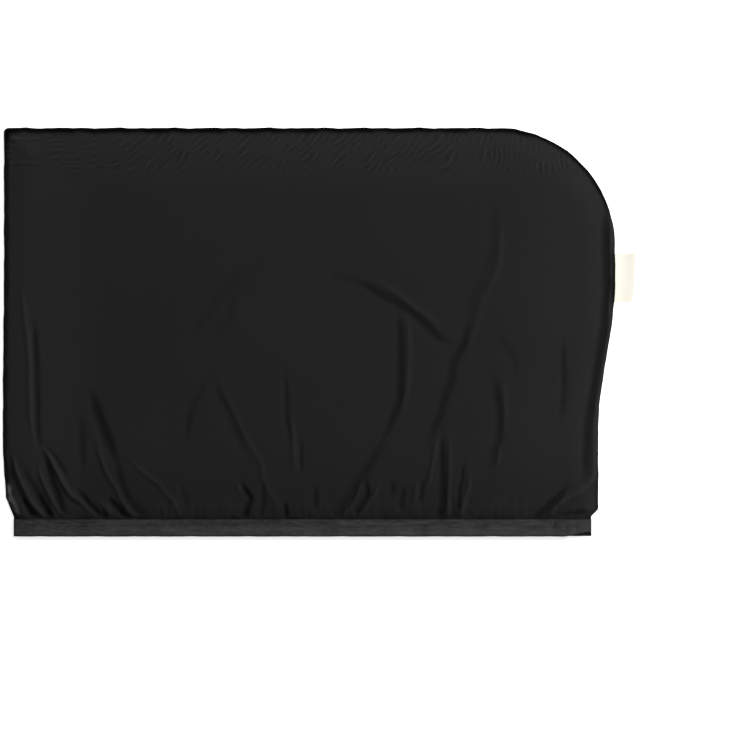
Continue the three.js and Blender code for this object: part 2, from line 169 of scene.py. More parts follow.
# Patterns of the materials: cells of each noise in a metre, and distances between threads
PATCH_CELLS, RAGGED_CELLS, CLOUD_CELLS, SATIN_CELLS, FLOOR_CELLS = 52.0, 150.0, 6.0, 60.0, 3.0
STREAK_CELLS, FLECK_CELLS = (26, 150, 1), (120, 330, 1)
KNIT_ROW_SHARE = 0.82
RIB_PITCH, PICK_PITCH, PICK_SWAY = 1.5 * MM, 0.9 * MM, 0.15 * MM
CREASE_WANDER, CREASE_STEP, CREASE_REACH = 4 * MM, 1.6 * MM, 1.1 * MM
TWIST_PITCH = 0.45 * MM
SATIN_PITCH, SATIN_CROSS = 0.5 * MM, 0.4 * MM

# Light and floor
KEY_PLACE, KEY_SIZE = (2.3, 1.5, 2.2), 1.4
FLOOR_HALF = 6.0

# The photograph's frame, which the camera takes in
PHOTO_PIXELS = 736
SLEEVE_PIXELS = 612
SLEEVE_LEFT_PIXEL = 3
HEM_PIXEL = 536
PIXEL = WIDTH / SLEEVE_PIXELS

# Darker line over the seam, partly the allowance showing through and partly painted shade
# at the curled edge: its width at the left and at the round corner, its wander, how dark it
# is, how faint on the lit right side, and how dark there beside the label
LINE_LEFT, LINE_CORNER, LINE_WANDER = 6.4 * MM, 5.4 * MM, 1.6 * MM
LINE_DARK, LINE_FAINT, LINE_BY_LABEL = 0.78, 0.1, 0.6
LINE_LABEL_REACH = 34 * MM
LINE_BREAK, LINE_BREAK_REACH = 52 * MM, 12 * MM
LINE_CORNER_REACH = 12 * MM
ALLOWANCE, ALLOWANCE_REACH, ALLOWANCE_DARK = 5 * MM, 3 * MM, 0.3

# Tone of the cloth, painted light and shade: the border inwards from each sewn edge, painted
# paler as if the floor's light showed through there, and its fade; the zone above the hem,
# painted darker as shade among the gathers, and its fade; the painted shade beside the
# elastic; the painted light that evens out the left seam's slope; and the folds' painted
# shade in valleys and painted highlight on ridges
BORDER_LEFT, BORDER_LEFT_FADE = 70 * MM, 60 * MM
BORDER_TOP, BORDER_TOP_FADE = 45 * MM, 45 * MM
BORDER_RIGHT, BORDER_RIGHT_FADE = 60 * MM, 110 * MM
HEM_ZONE, HEM_ZONE_FADE = 95 * MM, 85 * MM
SHADE_FROM_HEM, SHADE_REACH, SHADE_DARK, SHADE_WANDER = 0.5 * MM, 2 * MM, 0.3, 0.25
LEFT_LIGHT_AT, LEFT_LIGHT_REACH = 5 * MM, 26 * MM
BORDER_PAINTED_LIGHT, HEM_PAINTED_SHADE, LEFT_PAINTED_LIGHT = 0.15, 0.13, 0.2
FULL_FOLD, VALLEY_PAINTED_SHADE, RIDGE_PAINTED_HIGHLIGHT = 3 * MM, 0.5, 0.26

# Small patch of stretched cloth at the hem's left end: height, middle and half width, in mm
THIN_STRETCH = (
    (25, 21.5, 1.5), (29.5, 19, 2.6), (34.5, 16.4, 3.6), (44, 12.2, 2.8), (54, 8.9, 2.2), (65, 7.4, 1.2))

# Fringes, by places in mm from the left: their waves in a metre rightwards and downwards
FRINGE_WAVES = (
    (0, 10, 130), (90, 20, 135), (190, 100, 95), (520, 100, 90), (590, 150, 20), (750, 155, 15))
FRINGE_DEPTH, FRINGE_FADE = 58 * MM, 8 * MM
FRINGE_FAINT, FRINGE_STRONG = 0.12, 0.88

# Folds of the upper panel: height in mm, negative for a valley, half width in mm, and a
# route, downwards, in hundredths of the panel's width from the left and height from the hem.
FOLDS = {
    "corner ridge, outer": (3.2, 2.4, [
        (1.5, 20.6), (2.3, 16.2), (3.4, 12.5), (4.7, 8.8), (5.7, 6.9), (7, 4.6)]),
    "corner ridge, middle": (3.0, 2.5, [
        (5.9, 18.1), (6.2, 15.7), (7, 12.7), (8, 9.6), (9, 6.9), (10.3, 4.4)]),
    "corner ridge, inner": (4.0, 2.7, [
        (6.2, 21.6), (7.4, 20.4), (8.3, 17.9), (9.3, 15.2), (10.3, 12.3), (11.4, 10), (12.9, 8.6)]),
    "corner ridge, inner foot": (2.0, 4.0, [(12.4, 9.1), (14.2, 6.9), (15.5, 4.7)]),
    "corner valley, outer": (-1.5, 5.2, [
        (1.1, 21), (1.6, 15.7), (2.5, 12.3), (3.4, 9.1), (4.7, 5.2)]),
    "corner valley, second": (-1.8, 4.6, [
        (3.3, 17.2), (4.4, 13.7), (5.7, 10.8), (6.7, 8.1), (7.5, 5)]),
    "corner valley, third": (-3.4, 4.2, [
        (6.7, 20.1), (7.5, 16.7), (8.2, 13.2), (9, 10), (10, 4.7)]),
    "corner hollow, outer": (-5.4, 3.2, [(3.3, 9.8), (3.6, 8.8), (5, 5.4)]),
    "corner hollow, second": (-4.6, 3.4, [(5.5, 10.6), (6.5, 8), (7.6, 5.2)]),
    "corner valley, inner": (-1.8, 2.2, [(7, 22.3), (8.7, 19.1), (10, 16.2), (10.9, 13.7)]),
    "foot valley, first": (-3.8, 3.6, [(12.3, 11.5), (13.6, 8.8), (14.9, 6.6), (16.5, 4.4)]),
    "foot valley, second": (-4.0, 3.6, [(17, 9.6), (18.1, 8.1), (19.1, 6.4), (20.3, 4.4)]),
    "foot ridge": (2.2, 3.2, [(15.6, 8.8), (16.6, 7.5), (17.6, 6)]),
    "left side valley": (-2.2, 3.8, [
        (5.1, 54), (5.4, 43.1), (5.6, 34.6), (5.7, 27.2), (6, 22.8), (6.7, 20.1)]),
    "left side ridge": (1.7, 3.4, [
        (3.3, 61.5), (3.6, 55.4), (4.2, 48), (4.6, 40.7), (4.6, 33.3), (4.9, 27.2), (5.4, 22)]),
    "left long valley": (-3.2, 5.6, [
        (14.2, 36), (15.3, 30.9), (16.5, 26), (17.6, 21.8), (18.7, 17)]),
    "left long ridge": (2.2, 3.0, [
        (15, 25), (15.4, 23.5), (16, 19.9), (16.8, 16.7), (17.8, 13.7), (18.6, 12),
        (19.3, 9.6), (20.3, 7.1), (21.6, 4.9)]),
    "left faint valley": (-1.5, 4.6, [(12.8, 30), (12.9, 23.5), (13.1, 15)]),
    "left broad valley": (-1.7, 5.5, [(18.6, 19), (19.3, 13.2), (20.4, 9.3), (22.4, 5.4)]),
    "left second ridge": (1.6, 2.7, [
        (20.3, 20.1), (22.1, 16.9), (24, 14.5), (25.7, 12.7), (26.6, 10.5), (27.8, 8.8), (28.6, 6.6),
        (28.9, 4.4)]),
    "left second valley": (-0.8, 4.0, [(28.6, 13.5), (29.7, 9.8), (29.9, 6.4)]),
    "faint stroke": (-0.6, 3.6, [(30.2, 31), (30.1, 27.2), (29.9, 23)]),
    "hooked valley": (-4.2, 3.4, [(38.9, 13.4), (39.7, 11), (40.4, 9.1), (39.9, 7.1), (39.5, 5.1)]),
    "hooked valley's edge": (1.6, 2.8, [(38.2, 13), (38.9, 10.4)]),
    "arrow ridge": (1.1, 3.2, [
        (35.1, 39.2), (36.1, 35.3), (37.4, 31.4), (38.4, 28.4), (39.7, 24.3), (41, 20.8), (42.2, 17.9),
        (42.6, 14.2), (43.5, 11), (44.8, 7.8)]),
    "arrow valley, right": (-1.1, 5.4, [
        (34.3, 39.2), (35.3, 34.3), (36.6, 31.4), (37.6, 27), (38.7, 23.5), (39.9, 18)]),
    "arrow valley, left": (-0.9, 4.6, [(33.5, 39.8), (32.2, 35.3), (31.2, 32.8), (30.4, 28.9), (29.9, 23.5)]),
    "upright valley": (-1.6, 3.2, [(45.9, 40.7), (46.2, 35.3), (46.2, 30.9), (46.6, 26), (46.9, 22)]),
    "upright ridge": (1.6, 3.4, [(47.2, 28.5), (47.5, 23.5), (47.5, 14.7)]),
    "upright valley, thin": (-1.4, 2.4, [(48.7, 24.5), (48.7, 14.7)]),
    "hem valley, left": (-1.7, 3.2, [(42.3, 13.5), (42.5, 10), (42.3, 5.6)]),
    "hem valley, deep": (-3.6, 2.9, [(46.1, 8.4), (46.2, 6), (46.4, 3.9)]),
    "hem valley, right": (-1.9, 3.6, [(51.1, 12.3), (51, 7.1)]),
    "bow valley": (-2.2, 4.2, [
        (64.5, 56), (64.7, 46.8), (64.7, 39.5), (64.5, 33.3), (63.7, 29.9), (62.7, 26), (61.4, 22)]),
    "bow valley's foot": (-1.8, 6.5, [(62.2, 24.6), (60.3, 18.6), (58.3, 14.2), (56.4, 9.3), (54.9, 5.5)]),
    "bow ridge": (1.7, 3.6, [(66, 55.2), (66.2, 45.6), (66, 38.2), (65.5, 32.8), (64.7, 28.7)]),
    "short valley": (-3.3, 3.2, [(59.2, 13.8), (59.5, 11), (59, 8.8), (57.8, 6.2)]),
    "short ridge, left": (2.0, 3.1, [(58.7, 14.2), (57.8, 9.8), (56.9, 7.4), (55.6, 5.2)]),
    "short ridge, right": (2.2, 3.1, [(61.5, 13.2), (60.5, 9.8), (59.3, 7.4), (58.2, 5)]),
    "small valley by the bow": (-1.6, 3.3, [(63.4, 13.8), (63.6, 9.5)]),
    "small valley beyond the bow": (-1.7, 3.5, [(65.4, 12.4), (64.9, 7)]),
    "long valley, top": (-0.8, 7.0, [
        (80.1, 82), (79.9, 73.8), (79.2, 67.2), (77.9, 61.8), (76.5, 57.1), (76, 50.5)]),
    "long valley": (-2.2, 5.4, [
        (76, 53.6), (75, 47.1), (73.5, 42.6), (72.9, 37.7), (71.9, 33.8), (71.1, 29.4), (69.9, 25),
        (69.1, 21.5)]),
    "long ridge": (1.2, 4.2, [
        (81.4, 77.2), (80.9, 67.2), (79.7, 61.5), (78.3, 57.1), (76.8, 50.5), (75.6, 44)]),
    "straight valley": (-2.7, 4.3, [(71.7, 26), (71.6, 21.1), (71.6, 13.7), (71.6, 8.8), (71.1, 4.2)]),
    "straight ridge, left": (1.9, 2.4, [
        (70.9, 25), (70.4, 20), (69.9, 16.2), (69.4, 12.8), (67.9, 10.6)]),
    "straight ridge, right": (2.2, 2.6, [(72.9, 25), (72.9, 18.6), (72.8, 12.5), (72.6, 4.7)]),
    "thin valley": (-2.5, 2.5, [(75.3, 18.6), (74.8, 14.2), (74.5, 11.8), (74.1, 7)]),
    "thin ridge": (2.4, 2.9, [(76.1, 16), (76, 12.3), (75.3, 8.8), (74.7, 5)]),
    "thin foot, left": (-1.6, 3.0, [(73.4, 10), (73.5, 4.7)]),
    "thin foot, right": (-1.6, 3.0, [(76.2, 9.6), (76.3, 5.1)]),
    "curved valley": (-1.9, 5.2, [
        (79.3, 40.3), (80.2, 37), (80.6, 33.3), (80.9, 28.4), (80.7, 23.5), (79.9, 20.3), (79, 15.5)]),
    "curved ridge": (1.4, 3.6, [(81.5, 38.4), (81.9, 31.9), (81.8, 25)]),
    "curved ridge's foot": (1.8, 2.6, [(81.1, 21.6), (80.6, 16.6)]),
    "faint arc": (-0.7, 5.5, [(80, 51.4), (81.7, 46.8), (83.2, 43.1), (83.8, 37)]),
    "small valley by the long one": (-1.7, 2.8, [(68.6, 14.2), (68.1, 9)]),
    "small ridge by the long one": (1.5, 3.0, [(67.6, 14), (67.2, 9)]),
    "slash valley": (-4.2, 3.9, [(92, 12.2), (90.4, 9.3), (88.9, 7.4), (87.3, 4.7)]),
    "slash ridge": (3.0, 2.8, [(91.8, 9), (90.4, 7.4), (89.2, 5)]),
    "slash foot": (-1.9, 2.8, [(90.2, 5.4), (91.8, 5.3), (94.8, 5.7)]),
    "right side valley": (-3.2, 4.8, [
        (98.2, 80.4), (98.2, 70.1), (98.4, 60.3), (98, 51.7), (97.4, 45.6), (96.7, 38.7), (96.1, 33.3),
        (95.4, 28.4), (95.1, 21.1), (94.9, 12)]),
    "right rim": (3.0, 3.4, [
        (99, 80.5), (99.2, 75), (99.3, 70.1), (99.3, 62.7), (99, 56.6), (98.8, 49.3), (98, 43.1),
        (97.4, 38.2), (96.9, 32.1), (96.6, 26), (96.5, 16.2), (95.9, 13.4), (94.5, 11.4), (92.6, 9.8),
        (91, 8.2)]),
    "right inner valley": (-1.7, 3.8, [(91.3, 49), (91.3, 40.7), (91.3, 33.3), (90.8, 27)]),
    "diagonal valley": (-2.2, 4.6, [
        (56, 62.7), (59, 61.3), (61.6, 58.8), (64.1, 56.9), (66.8, 54.2), (69, 51.2), (71.4, 48),
        (74.4, 46.6)]),
    "diagonal start": (-0.7, 4.8, [(53, 63.9), (57.5, 62.3)]),
    "diagonal ridge": (1.6, 3.2, [
        (59.6, 62.8), (61.6, 61.8), (63.6, 60), (65.7, 57.6), (68.1, 54.9), (70.1, 52.7), (72.2, 49)]),
    "crescent, outer": (-0.65, 6.5, [
        (42.2, 66.1), (39.4, 64.7), (37.1, 61.5), (35, 57.8), (33.2, 54.4), (31.9, 51.5), (30.7, 47)]),
    "crescent, inner": (-0.65, 6.0, [(39.8, 60.4), (37.6, 57.8), (36.8, 53.4), (35.1, 49.8), (34.3, 46)]),
}


class SunshadeCloth(bpy.types.PropertyGroup):
    """Sizes and colours of the two mesh panels and of their seam."""

    fold_height: bpy.props.FloatProperty(
        name="Fold height", description="Height of the drawn folds, as a share", default=1.0, min=0, max=2)
    gather_height: bpy.props.FloatProperty(
        name="Gather height", description="Height of the small gathers above the elastic",
        default=1.2 * MM, min=0, max=3 * MM, unit="LENGTH")
    gathers: bpy.props.IntProperty(
        name="Gathers", description="How many small gathers stand above the elastic", default=84, min=0)
    pucker: bpy.props.FloatProperty(
        name="Seam pucker", description="How far the sewn edges waver in plan",
        default=0.8 * MM, min=0, max=2 * MM, unit="LENGTH")
    column_pitch: bpy.props.FloatProperty(
        name="Column pitch", description="Width of one column of the upper panel",
        default=1.85 * MM, min=0.5 * MM, unit="LENGTH")
    row_pitch: bpy.props.FloatProperty(
        name="Row pitch", description="Height of one row of the upper panel near the hem",
        default=2.0 * MM, min=0.5 * MM, unit="LENGTH")
    knit_pitch: bpy.props.FloatProperty(
        name="Knit pitch", description="Distance between two columns of stitches in the mesh",
        default=1.15 * MM, min=0.3 * MM, unit="LENGTH")
    colour: bpy.props.FloatVectorProperty(
        name="Mesh colour", description="Yarn of both panels", subtype="COLOR",
        default=(0.0123, 0.0123, 0.0123), min=0, max=1)
    thread_colour: bpy.props.FloatVectorProperty(
        name="Overlock colour", description="Overlocking thread of the seam", subtype="COLOR",
        default=(0.009, 0.009, 0.0095), min=0, max=1)


class SunshadeTrim(bpy.types.PropertyGroup):
    """Sizes and colours of the elastic, its stitching and the label."""

    wave_height: bpy.props.FloatProperty(
        name="Elastic waves", description="How far the elastic undulates over the gathered cloth",
        default=0.35 * MM, min=0, max=2 * MM, unit="LENGTH")
    stitch_length: bpy.props.FloatProperty(
        name="Stitch length", description="Length of one stitch on the elastic",
        default=3.1 * MM, min=1 * MM, unit="LENGTH")
    stitch_gap: bpy.props.FloatProperty(
        name="Stitch gap", description="Space between two stitches",
        default=0.7 * MM, min=0.1 * MM, unit="LENGTH")
    thread_radius: bpy.props.FloatProperty(
        name="Thread radius", description="Half the thickness of the sewing thread",
        default=0.22 * MM, min=0.05 * MM, unit="LENGTH")
    sewing_colour: bpy.props.FloatVectorProperty(
        name="Sewing thread colour", description="Thread of the hem's stitches", subtype="COLOR",
        default=(0.02, 0.02, 0.021), min=0, max=1)
    elastic_colour: bpy.props.FloatVectorProperty(
        name="Elastic colour", description="Woven elastic", subtype="COLOR",
        default=(0.0176, 0.0176, 0.0178), min=0, max=1)
    label_colour: bpy.props.FloatVectorProperty(
        name="Label colour", description="Satin of the blank label", subtype="COLOR",
        default=(0.665, 0.635, 0.55), min=0, max=1)


class SunshadeStage(bpy.types.PropertyGroup):
    """Camera, lights and floor."""

    camera_height: bpy.props.FloatProperty(
        name="Camera height", description="Height of the camera above the floor",
        default=2.6, min=0.5, unit="LENGTH")
    key_power: bpy.props.FloatProperty(
        name="Key light", description="Power of the large light on the upper right, in watts", default=180)
    sky_strength: bpy.props.FloatProperty(
        name="Sky", description="Strength of the even light from all round", default=0.4)
    floor_colour: bpy.props.FloatVectorProperty(
        name="Floor colour", description="Pale floor", subtype="COLOR",
        default=(0.94, 0.94, 0.94), min=0, max=1)
    floor_glow: bpy.props.FloatProperty(
        name="Floor glow", description="Light that the floor gives off, as a light table does",
        default=0.6, min=0)


# Shape of the sleeve in plan

def ease(value):
    """Smooth step: 0 below 0, 1 above 1, and three squares less two cubes between."""
    t = np.clip(value, 0, 1)
    return t * t * (3 - 2 * t)


def mix(start, end, share):
    """The value a share of the way from start to end."""
    return start + (end - start) * share


def left_seam(y):
    """Inset of the left seam at height y: a slight lean at the top, a slight draw near the
    hem, then a straight dive into the elastic."""
    slack = LEFT_DRAW * ease((LEFT_DRAW_FROM - y) / LEFT_DRAW_LENGTH)
    slack = slack + LEFT_LEAN * ease((y - LEFT_LEAN_FROM) / LEFT_LEAN_LENGTH)
    dive = np.clip((HEM_TOP + HEM_DIVE_LEFT - y) / HEM_DIVE_LEFT, 0, 1)
    return mix(slack, HEM_LEFT - HEM_SPREAD, dive) + HEM_SPREAD * ease((HEM_TOP + CLOTH - y) / CLOTH)


def right_seam(y):
    """Place of the right seam at height y: a long draw, then a dive into the elastic."""
    start = CORNER_Y - SIDE_DRAW_BELOW_CORNER
    slack = WIDTH - SIDE_DRAW * ease((start - y) / SIDE_DRAW_LENGTH)
    dive = ease((HEM_TOP + HEM_DIVE_RIGHT - y) / HEM_DIVE_RIGHT)
    return mix(slack, HEM_RIGHT + HEM_SPREAD, dive) - HEM_SPREAD * ease((HEM_TOP + CLOTH - y) / CLOTH)


def lay(across, up):
    """A point of the undrawn panel, moved sideways in its share between the two seams."""
    return mix(left_seam(up), right_seam(up), across / WIDTH), up


def round_corners(across, up):
    """Each square corner becomes a quarter disc: a point at (a, b) of its square goes to
    a times the root of 1 less half b squared, and b times the root of 1 less half a squared."""
    for centre, radius, sign in (
        (CORNER_X, CORNER_RADIUS, 1),
        (SMALL_CORNER_RADIUS, SMALL_CORNER_RADIUS, -1),
    ):
        a = np.clip(sign * (across - centre) / radius, 0, 1)
        b = np.clip((up - (HEIGHT - radius)) / radius, 0, 1)
        inside = (a > 0) & (b > 0)
        across = np.where(inside, centre + sign * radius * a * np.sqrt(1 - b * b / 2), across)
        up = np.where(inside, HEIGHT - radius + radius * b * np.sqrt(1 - a * a / 2), up)
    return across, up


def edge_distance(across, up):
    """Distance from the nearest sewn edge of the undrawn panel, the round corner included."""
    straight = np.minimum(np.minimum(across, WIDTH - across), HEIGHT - up)
    turned = CORNER_RADIUS - np.hypot(across - CORNER_X, up - CORNER_Y)
    distance = np.where((across > CORNER_X) & (up > CORNER_Y), turned, straight)
    return np.maximum(distance, 0)


def waver(along, size, seed):
    """An uneven wave of about that size: four sines of unlike lengths added up."""
    lengths = np.array([61, 37, 23, 13]) * MM
    phases = np.random.default_rng(seed).uniform(0, 2 * math.pi, len(lengths))
    weights = np.array([0.4, 0.3, 0.2, 0.1])
    waves = np.sin(2 * math.pi * np.asarray(along)[..., None] / lengths + phases)
    return size * (waves * weights).sum(-1)


# Shape of the sleeve in height

def hem_lift(y):
    """Lift of the lower layers over the elastic, falling in a straight ramp above it."""
    return BACK_LIFT * np.clip((HEM_TOP + HEM_RAMP - y) / HEM_RAMP, 0, 1)


def smooth_route(points, steps=6):
    """A Catmull-Rom curve through a few points, as steps short lengths between each two."""
    points = np.asarray(points, float)
    padded = np.vstack([2 * points[0] - points[1], points, 2 * points[-1] - points[-2]])
    t = np.linspace(0, 1, steps, endpoint=False)[:, None]
    spans = []
    for before, start, end, after in zip(padded, padded[1:], padded[2:], padded[3:]):
        spans.append(
            start + t * (end - before) / 2
            + t**2 * (before - 2.5 * start + 2 * end - after / 2)
            + t**3 * (1.5 * (start - end) + (after - before) / 2))
    return np.vstack([*spans, points[-1:]])


def fold_height(x, y, rise, reach, route):
    """A rounded ridge or valley along a route: rise times a bell curve of the distance from
    it. It fades at its ends, but for a foot at the hem, where it is widest."""
    foot = route[-1][1] < FOLD_FOOT
    route = smooth_route(route)
    nearest = np.full(x.shape, np.inf)
    along = np.zeros(x.shape)
    lengths = np.hypot(*np.diff(route, axis=0).T)
    run = np.concatenate([[0], np.cumsum(lengths)])
    for start, end, before, length in zip(route, route[1:], run, lengths):
        dx, dy = end - start
        t = np.clip(((x - start[0]) * dx + (y - start[1]) * dy) / length**2, 0, 1)
        distance = np.hypot(x - start[0] - t * dx, y - start[1] - t * dy)
        closer = distance < nearest
        nearest = np.where(closer, distance, nearest)
        along = np.where(closer, (before + t * length) / run[-1], along)
    fade = min(0.3, FOLD_FADE / run[-1])
    taper = 0.15 + 0.85 * ease(along / fade)
    width = 0.75 + 0.25 * np.sin(math.pi * along)
    if foot:
        width = 0.65 + 0.45 * along
    else:
        taper = taper * (0.15 + 0.85 * ease((1 - along) / fade))
    return rise * taper * np.exp(-((nearest / (reach * width)) ** 2))


def small_gathers(x, y, height, count):
    """Short upright ridges above the elastic, at seeded places, each leaning a little, and
    each a bell curve across that dies out upwards."""
    draw = np.random.default_rng(GATHERS)
    total = np.zeros(x.shape)
    for place in np.linspace(0.03, 0.965, count):
        foot = WIDTH * (place + draw.uniform(-0.004, 0.004))
        lean = draw.normal(0, 0.3) + (0.5 - place) * -0.5
        reach = draw.uniform(1.8, 3.8) * MM
        length = draw.uniform(14, 44) * MM
        rise = height * draw.uniform(0.35, 1.3)
        up = y - HEM_TOP
        bend = draw.normal(0, 2.5)
        offset = x - foot - lean * up - bend * up * up
        total += rise * np.exp(-((offset / reach) ** 2)) * ease(1 - up / length)
    return total


def pucker(across, up, x, y, size):
    """The sewn edges waver in plan: an uneven wave moves the sides out and in, from nothing
    at the elastic, and another moves the top up and down, from nothing a quarter below it."""
    x = x + waver(y, size, SIDE_PUCKER) * (across / WIDTH - 0.5) * ease((y - HEM_TOP) / PUCKER_RAMP)
    y = y + waver(x, size, TOP_PUCKER) * ease(up / HEIGHT * 4 - 3)
    return x, y


def relief(x, y, cloth):
    """Folds and gathers of the upper panel: all ridges and valleys added up, and bent over
    smoothly towards the greatest height and depth that they may reach."""
    total = np.zeros(x.shape)
    for rise, reach, route in FOLDS.values():
        points = [(u / 100 * WIDTH, v / 100 * HEIGHT) for u, v in route]
        total += fold_height(x, y, rise * MM * cloth.fold_height, reach * MM, points)
    total += small_gathers(x, y, cloth.gather_height, cloth.gathers)
    limit = np.where(total > 0, RIDGE_LIMIT, VALLEY_LIMIT)
    return limit * np.tanh(total / limit) * ease((y - HEM_TOP + FOLD_UNDER_ELASTIC) / FOLD_RAMP)


def sleeve_roof(across, up, x, y, folds):
    """Underside of the upper panel: flat over the seam, then a quarter sine up to the crowned
    cloth, with the folds and gathers on it, and its very edge curled down to the lower one."""
    distance = edge_distance(across, up)
    edge = EDGE_LEVEL + hem_lift(y)
    fullness = ease((y - HEM_TOP) / FULLNESS_RAMP)
    body = SLEEVE_LEVEL + fullness * CROWN
    roll = mix(EDGE_ROLL, SIDE_ROLL, ease((y - HEM_TOP) / LOWER_SLEEVE)) - SEAM_FLAT
    share = np.sin(math.pi / 2 * np.clip((distance - SEAM_FLAT) / roll, 0, 1))
    roof = mix(edge, body, share) + folds * ease(distance / FOLD_EDGE_RAMP)
    roof = np.maximum(roof, edge)
    curl = 1 - np.clip(distance / EDGE_CURL, 0, 1)
    beside_label = (y > LABEL_LOW.y - HEM - LABEL_MARGIN) & (y < LABEL_HIGH.y - HEM + LABEL_MARGIN)
    drop = np.where(beside_label & (x > WIDTH / 2), LABEL_DROP, EDGE_DROP)
    return roof - drop * (1 - np.sqrt(1 - curl**2))


# Meshes

def new_piece(name, vertices, faces, material, sharp=50):
    """A mesh object from arrays of corners and of faces' corner numbers, shaded smoothly
    except over sharp edges, riding on the row's one body."""
    mesh = bpy.data.meshes.new(name)
    mesh.from_pydata(vertices.reshape(-1, 3).tolist(), [], faces)
    mesh.polygons.foreach_set("use_smooth", np.ones(len(mesh.polygons), bool))
    mesh.set_sharp_from_angle(angle=math.radians(sharp))
    mesh.materials.append(material)
    piece = bpy.data.objects.new(name, mesh)
    bpy.context.scene.collection.objects.link(piece)
    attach(piece, "root")
    return piece


def grid_quads(rows, columns):
    """Corner numbers of a grid's quads, anticlockwise where columns run right and rows up."""
    a = (np.arange(rows - 1)[:, None] * columns + np.arange(columns - 1)).ravel()
    return np.stack([a, a + 1, a + 1 + columns, a + columns], 1)


def rim_faces(outer, inner, coarse):
    """Faces between an outer and an inner border, both closed and taken the same way round:
    each joins one step of the inner border to as many steps of the outer one as it spans."""
    starts = np.arange(0, len(outer), coarse)
    fan = [outer[(starts + step) % len(outer)] for step in range(coarse, -1, -1)]
    return np.stack([*fan, inner, np.roll(inner, -1)], 1)


def border(rows, columns):
    """Corner numbers round the border of a grid, anticlockwise, without repeats."""
    grid = np.arange(rows * columns).reshape(rows, columns)
    return np.concatenate([grid[0, :-1], grid[:-1, -1], grid[-1, :0:-1], grid[:0:-1, 0]])


def sheet_piece(name, outer, inner, material, cloth_uv, attributes=None, coarse=1, sharp=50):
    """A thin closed sheet from two grids of points, its faces outwards. The inner grid may
    be taken in coarser steps. The UV map holds the cloth's own coordinates in metres, and
    each attribute a value for every point."""
    thin = (slice(None, None, coarse),) * 2
    shape, inner_shape = outer.shape[:2], inner[thin].shape[:2]
    shift = shape[0] * shape[1]
    vertices = np.concatenate([outer.reshape(-1, 3), inner[thin].reshape(-1, 3)])
    groups = [
        grid_quads(*shape),
        grid_quads(*inner_shape)[:, ::-1] + shift,
        rim_faces(border(*shape), border(*inner_shape) + shift, coarse),
    ]
    piece = new_piece(name, vertices, outward(vertices, groups), material, sharp)
    mesh = piece.data
    corners = np.zeros(len(mesh.loops), np.int32)
    mesh.loops.foreach_get("vertex_index", corners)
    both = np.concatenate([cloth_uv.reshape(-1, 2), cloth_uv[thin].reshape(-1, 2)])
    mesh.uv_layers.new(name="cloth").data.foreach_set("uv", both[corners].astype(np.float32).ravel())
    for key, values in (attributes or {}).items():
        layer = mesh.attributes.new(key, "FLOAT", "POINT")
        both = np.concatenate([values.ravel(), values[thin].ravel()])
        layer.data.foreach_set("value", both.astype(np.float32))
    return piece


def signed_volume(vertices, faces):
    """Volume between closed faces and the origin, from the tetrahedra of each face's fan:
    negative if the faces look inwards."""
    first, *others = (vertices[column] for column in faces.T)
    fans = (np.cross(first, second) * third for second, third in zip(others, others[1:]))
    return sum(float(fan.sum()) for fan in fans) / 6


def outward(vertices, groups):
    """Groups of closed faces as one list, turned round if they look inwards."""
    if sum(signed_volume(vertices, faces) for faces in groups) < 0:
        groups = [faces[:, ::-1] for faces in groups]
    return [face for group in groups for face in group.tolist()]


def place(x, y, z):
    """Points of the sleeve's own coordinates, stacked and moved into the row's frame."""
    return np.stack(np.broadcast_arrays(x + LEFT, y + HEM, z), -1)


# Materials

